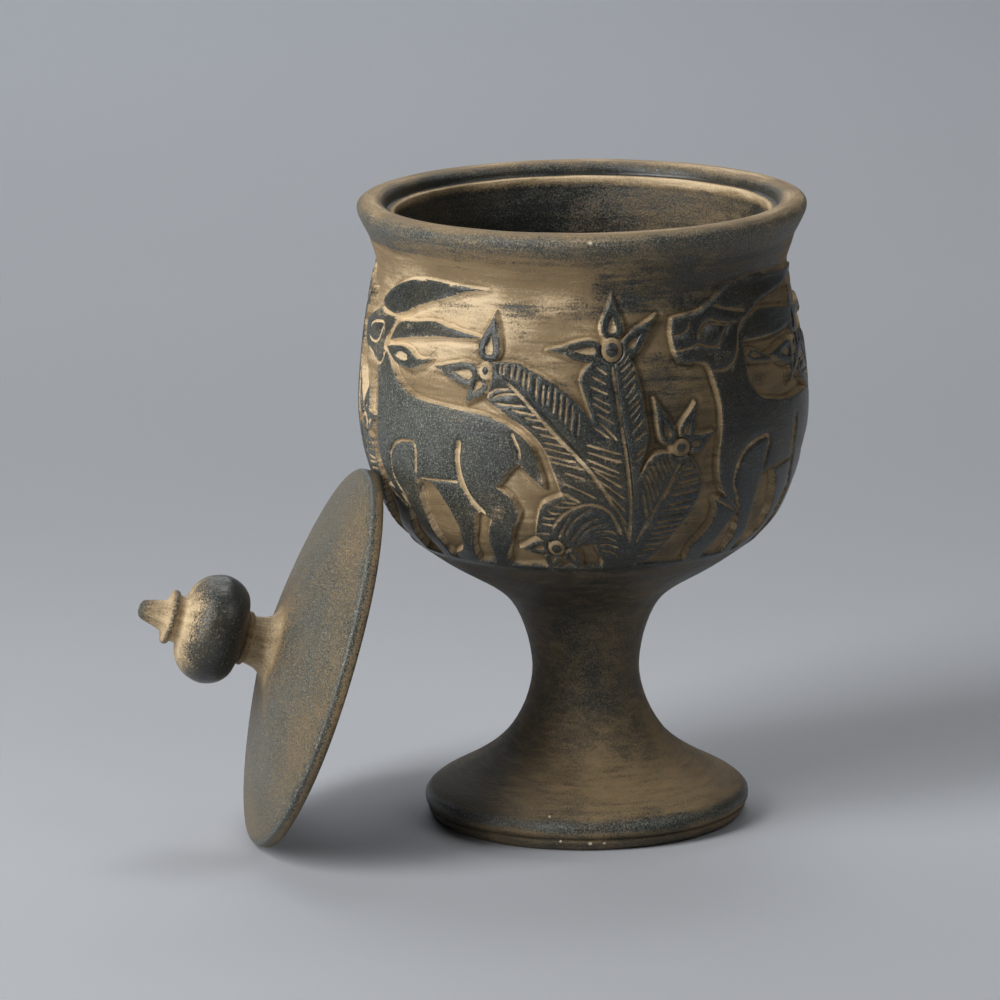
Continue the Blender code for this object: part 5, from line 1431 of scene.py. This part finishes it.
def add_backdrop(colour):
    """A floor that sweeps up into a wall behind the vase."""
    width, front, back, sweep, top, steps = 6.0, -3.5, 2.2, 1.2, 3.5, 16
    profile = [(front, 0.0), (back, 0.0)]
    for step in range(1, steps + 1):
        turn = math.pi / 2 * step / steps
        profile.append((back + sweep * math.sin(turn), sweep * (1 - math.cos(turn))))
    profile.append((back + sweep, top))
    points = [(side * width, y, z) for y, z in profile for side in (-1, 1)]
    faces = [(2 * step, 2 * step + 1, 2 * step + 3, 2 * step + 2) for step in range(len(profile) - 1)]
    mesh = bpy.data.meshes.new("backdrop")
    mesh.from_pydata(points, [], faces)
    mesh.polygons.foreach_set("use_smooth", [True] * len(faces))
    material = bpy.data.materials.new("backdrop paper")
    material.use_nodes = True
    tree = material.node_tree
    shader = tree.nodes["Principled BSDF"]
    place = add_node(tree, "ShaderNodeTexCoord").outputs["Object"]
    depth = add_node(tree, "ShaderNodeSeparateXYZ", {0: place}).outputs["Y"]
    near, length_back = -FLOOR_PAINTED_LIGHT[0][0], FLOOR_PAINTED_LIGHT[-1][0] - FLOOR_PAINTED_LIGHT[0][0]
    share = math_node(tree, "MULTIPLY_ADD", depth, 1 / length_back, near / length_back)
    # Painted light and shade: the floor's colour changes with the distance behind the vase
    ramp = add_node(tree, "ShaderNodeValToRGB", {"Fac": share})
    while len(ramp.color_ramp.elements) < len(FLOOR_PAINTED_LIGHT):
        ramp.color_ramp.elements.new(0.5)
    for stop, (distance, _) in zip(ramp.color_ramp.elements, FLOOR_PAINTED_LIGHT):
        stop.position = (distance + near) / length_back
    for stop, (_, shade) in zip(ramp.color_ramp.elements, FLOOR_PAINTED_LIGHT):
        stop.color = (*(channel * shade for channel in colour), 1.0)
    ramp.color_ramp.interpolation = "B_SPLINE"
    tree.links.new(ramp.outputs["Color"], shader.inputs["Base Color"])
    shader.inputs["Roughness"].default_value = 0.85
    mesh.materials.append(material)
    backdrop = bpy.data.objects.new("backdrop", mesh)
    bpy.context.scene.collection.objects.link(backdrop)


class VASE_OT_studio(bpy.types.Operator):
    """Adds the backdrop, the soft lights and the camera"""

    bl_idname = "stone_vase.studio"
    bl_label = "Studio"

    def execute(self, context):
        studio = context.scene.stone_vase.studio
        add_backdrop(studio.floor_colour)
        aim = (0.0, 0.0, 0.12)
        add_softbox("key_softbox", light_place(studio.key_turn, studio.key_rise, 2.2), aim, (0.9, 2.0),
                    studio.key_power)
        add_softbox("back_softbox", light_place(math.radians(170.0), math.radians(72.0), 2.0), aim, (0.45, 0.45),
                    studio.back_power)
        add_softbox("overhead_softbox", (0.0, 1.0, 2.3), (0.0, 0.1, 0.0), (2.4, 1.6), studio.overhead_power)
        add_softbox("right_softbox", light_place(math.radians(60.0), math.radians(45.0), 2.4), aim, (1.2, 1.2),
                    studio.right_power)
        add_softbox("backdrop_softbox", (-0.6, 2.35, 1.55), (-0.6, 2.35, 0.0), (2.0, 0.8), studio.backdrop_power,
                    COOL_WHITE)
        world = bpy.data.worlds.new("studio")
        context.scene.world = world
        world.use_nodes = True
        background = world.node_tree.nodes["Background"]
        background.inputs["Color"].default_value = (*SKY_COLOUR, 1.0)
        background.inputs["Strength"].default_value = studio.fill_strength
        context.scene.view_settings.view_transform = "Standard"
        add_camera(studio.lens)
        return {"FINISHED"}


class VASE_PT_pieces(bpy.types.Panel):
    """Lists the pieces of the vase, and the sizes and colours that can be changed"""

    bl_label = "Stone vase"
    bl_idname = "VASE_PT_pieces"
    bl_space_type = "VIEW_3D"
    bl_region_type = "UI"
    bl_category = "Stone vase"

    def draw(self, context):
        for operator in OPERATORS:
            self.layout.operator(operator.bl_idname)
        settings = context.scene.stone_vase
        for group in (settings.carving, settings.stone, settings.studio):
            box = self.layout.box()
            for key in group.bl_rna.properties.keys():
                if key not in ("rna_type", "name"):
                    box.prop(group, key)


OPERATORS = (VASE_OT_carved_vase, VASE_OT_turned_lid, VASE_OT_studio)
GROUPS = (VASE_PG_carving, VASE_PG_stone, VASE_PG_studio, VASE_PG_settings)
CLASSES = GROUPS + OPERATORS + (VASE_PT_pieces,)


def register():
    for made in CLASSES:
        bpy.utils.register_class(made)
    bpy.types.Scene.stone_vase = PointerProperty(name="Stone vase", description="Sizes and colours of the stone vase",
                                                 type=VASE_PG_settings)


def unregister():
    del bpy.types.Scene.stone_vase
    for made in reversed(CLASSES):
        bpy.utils.unregister_class(made)


def main():
    register()
    bpy.ops.stone_vase.carved_vase()
    bpy.ops.stone_vase.turned_lid()
    bpy.ops.stone_vase.studio()
    bpy.context.view_layer.update()


if __name__ == "__main__":
    main()
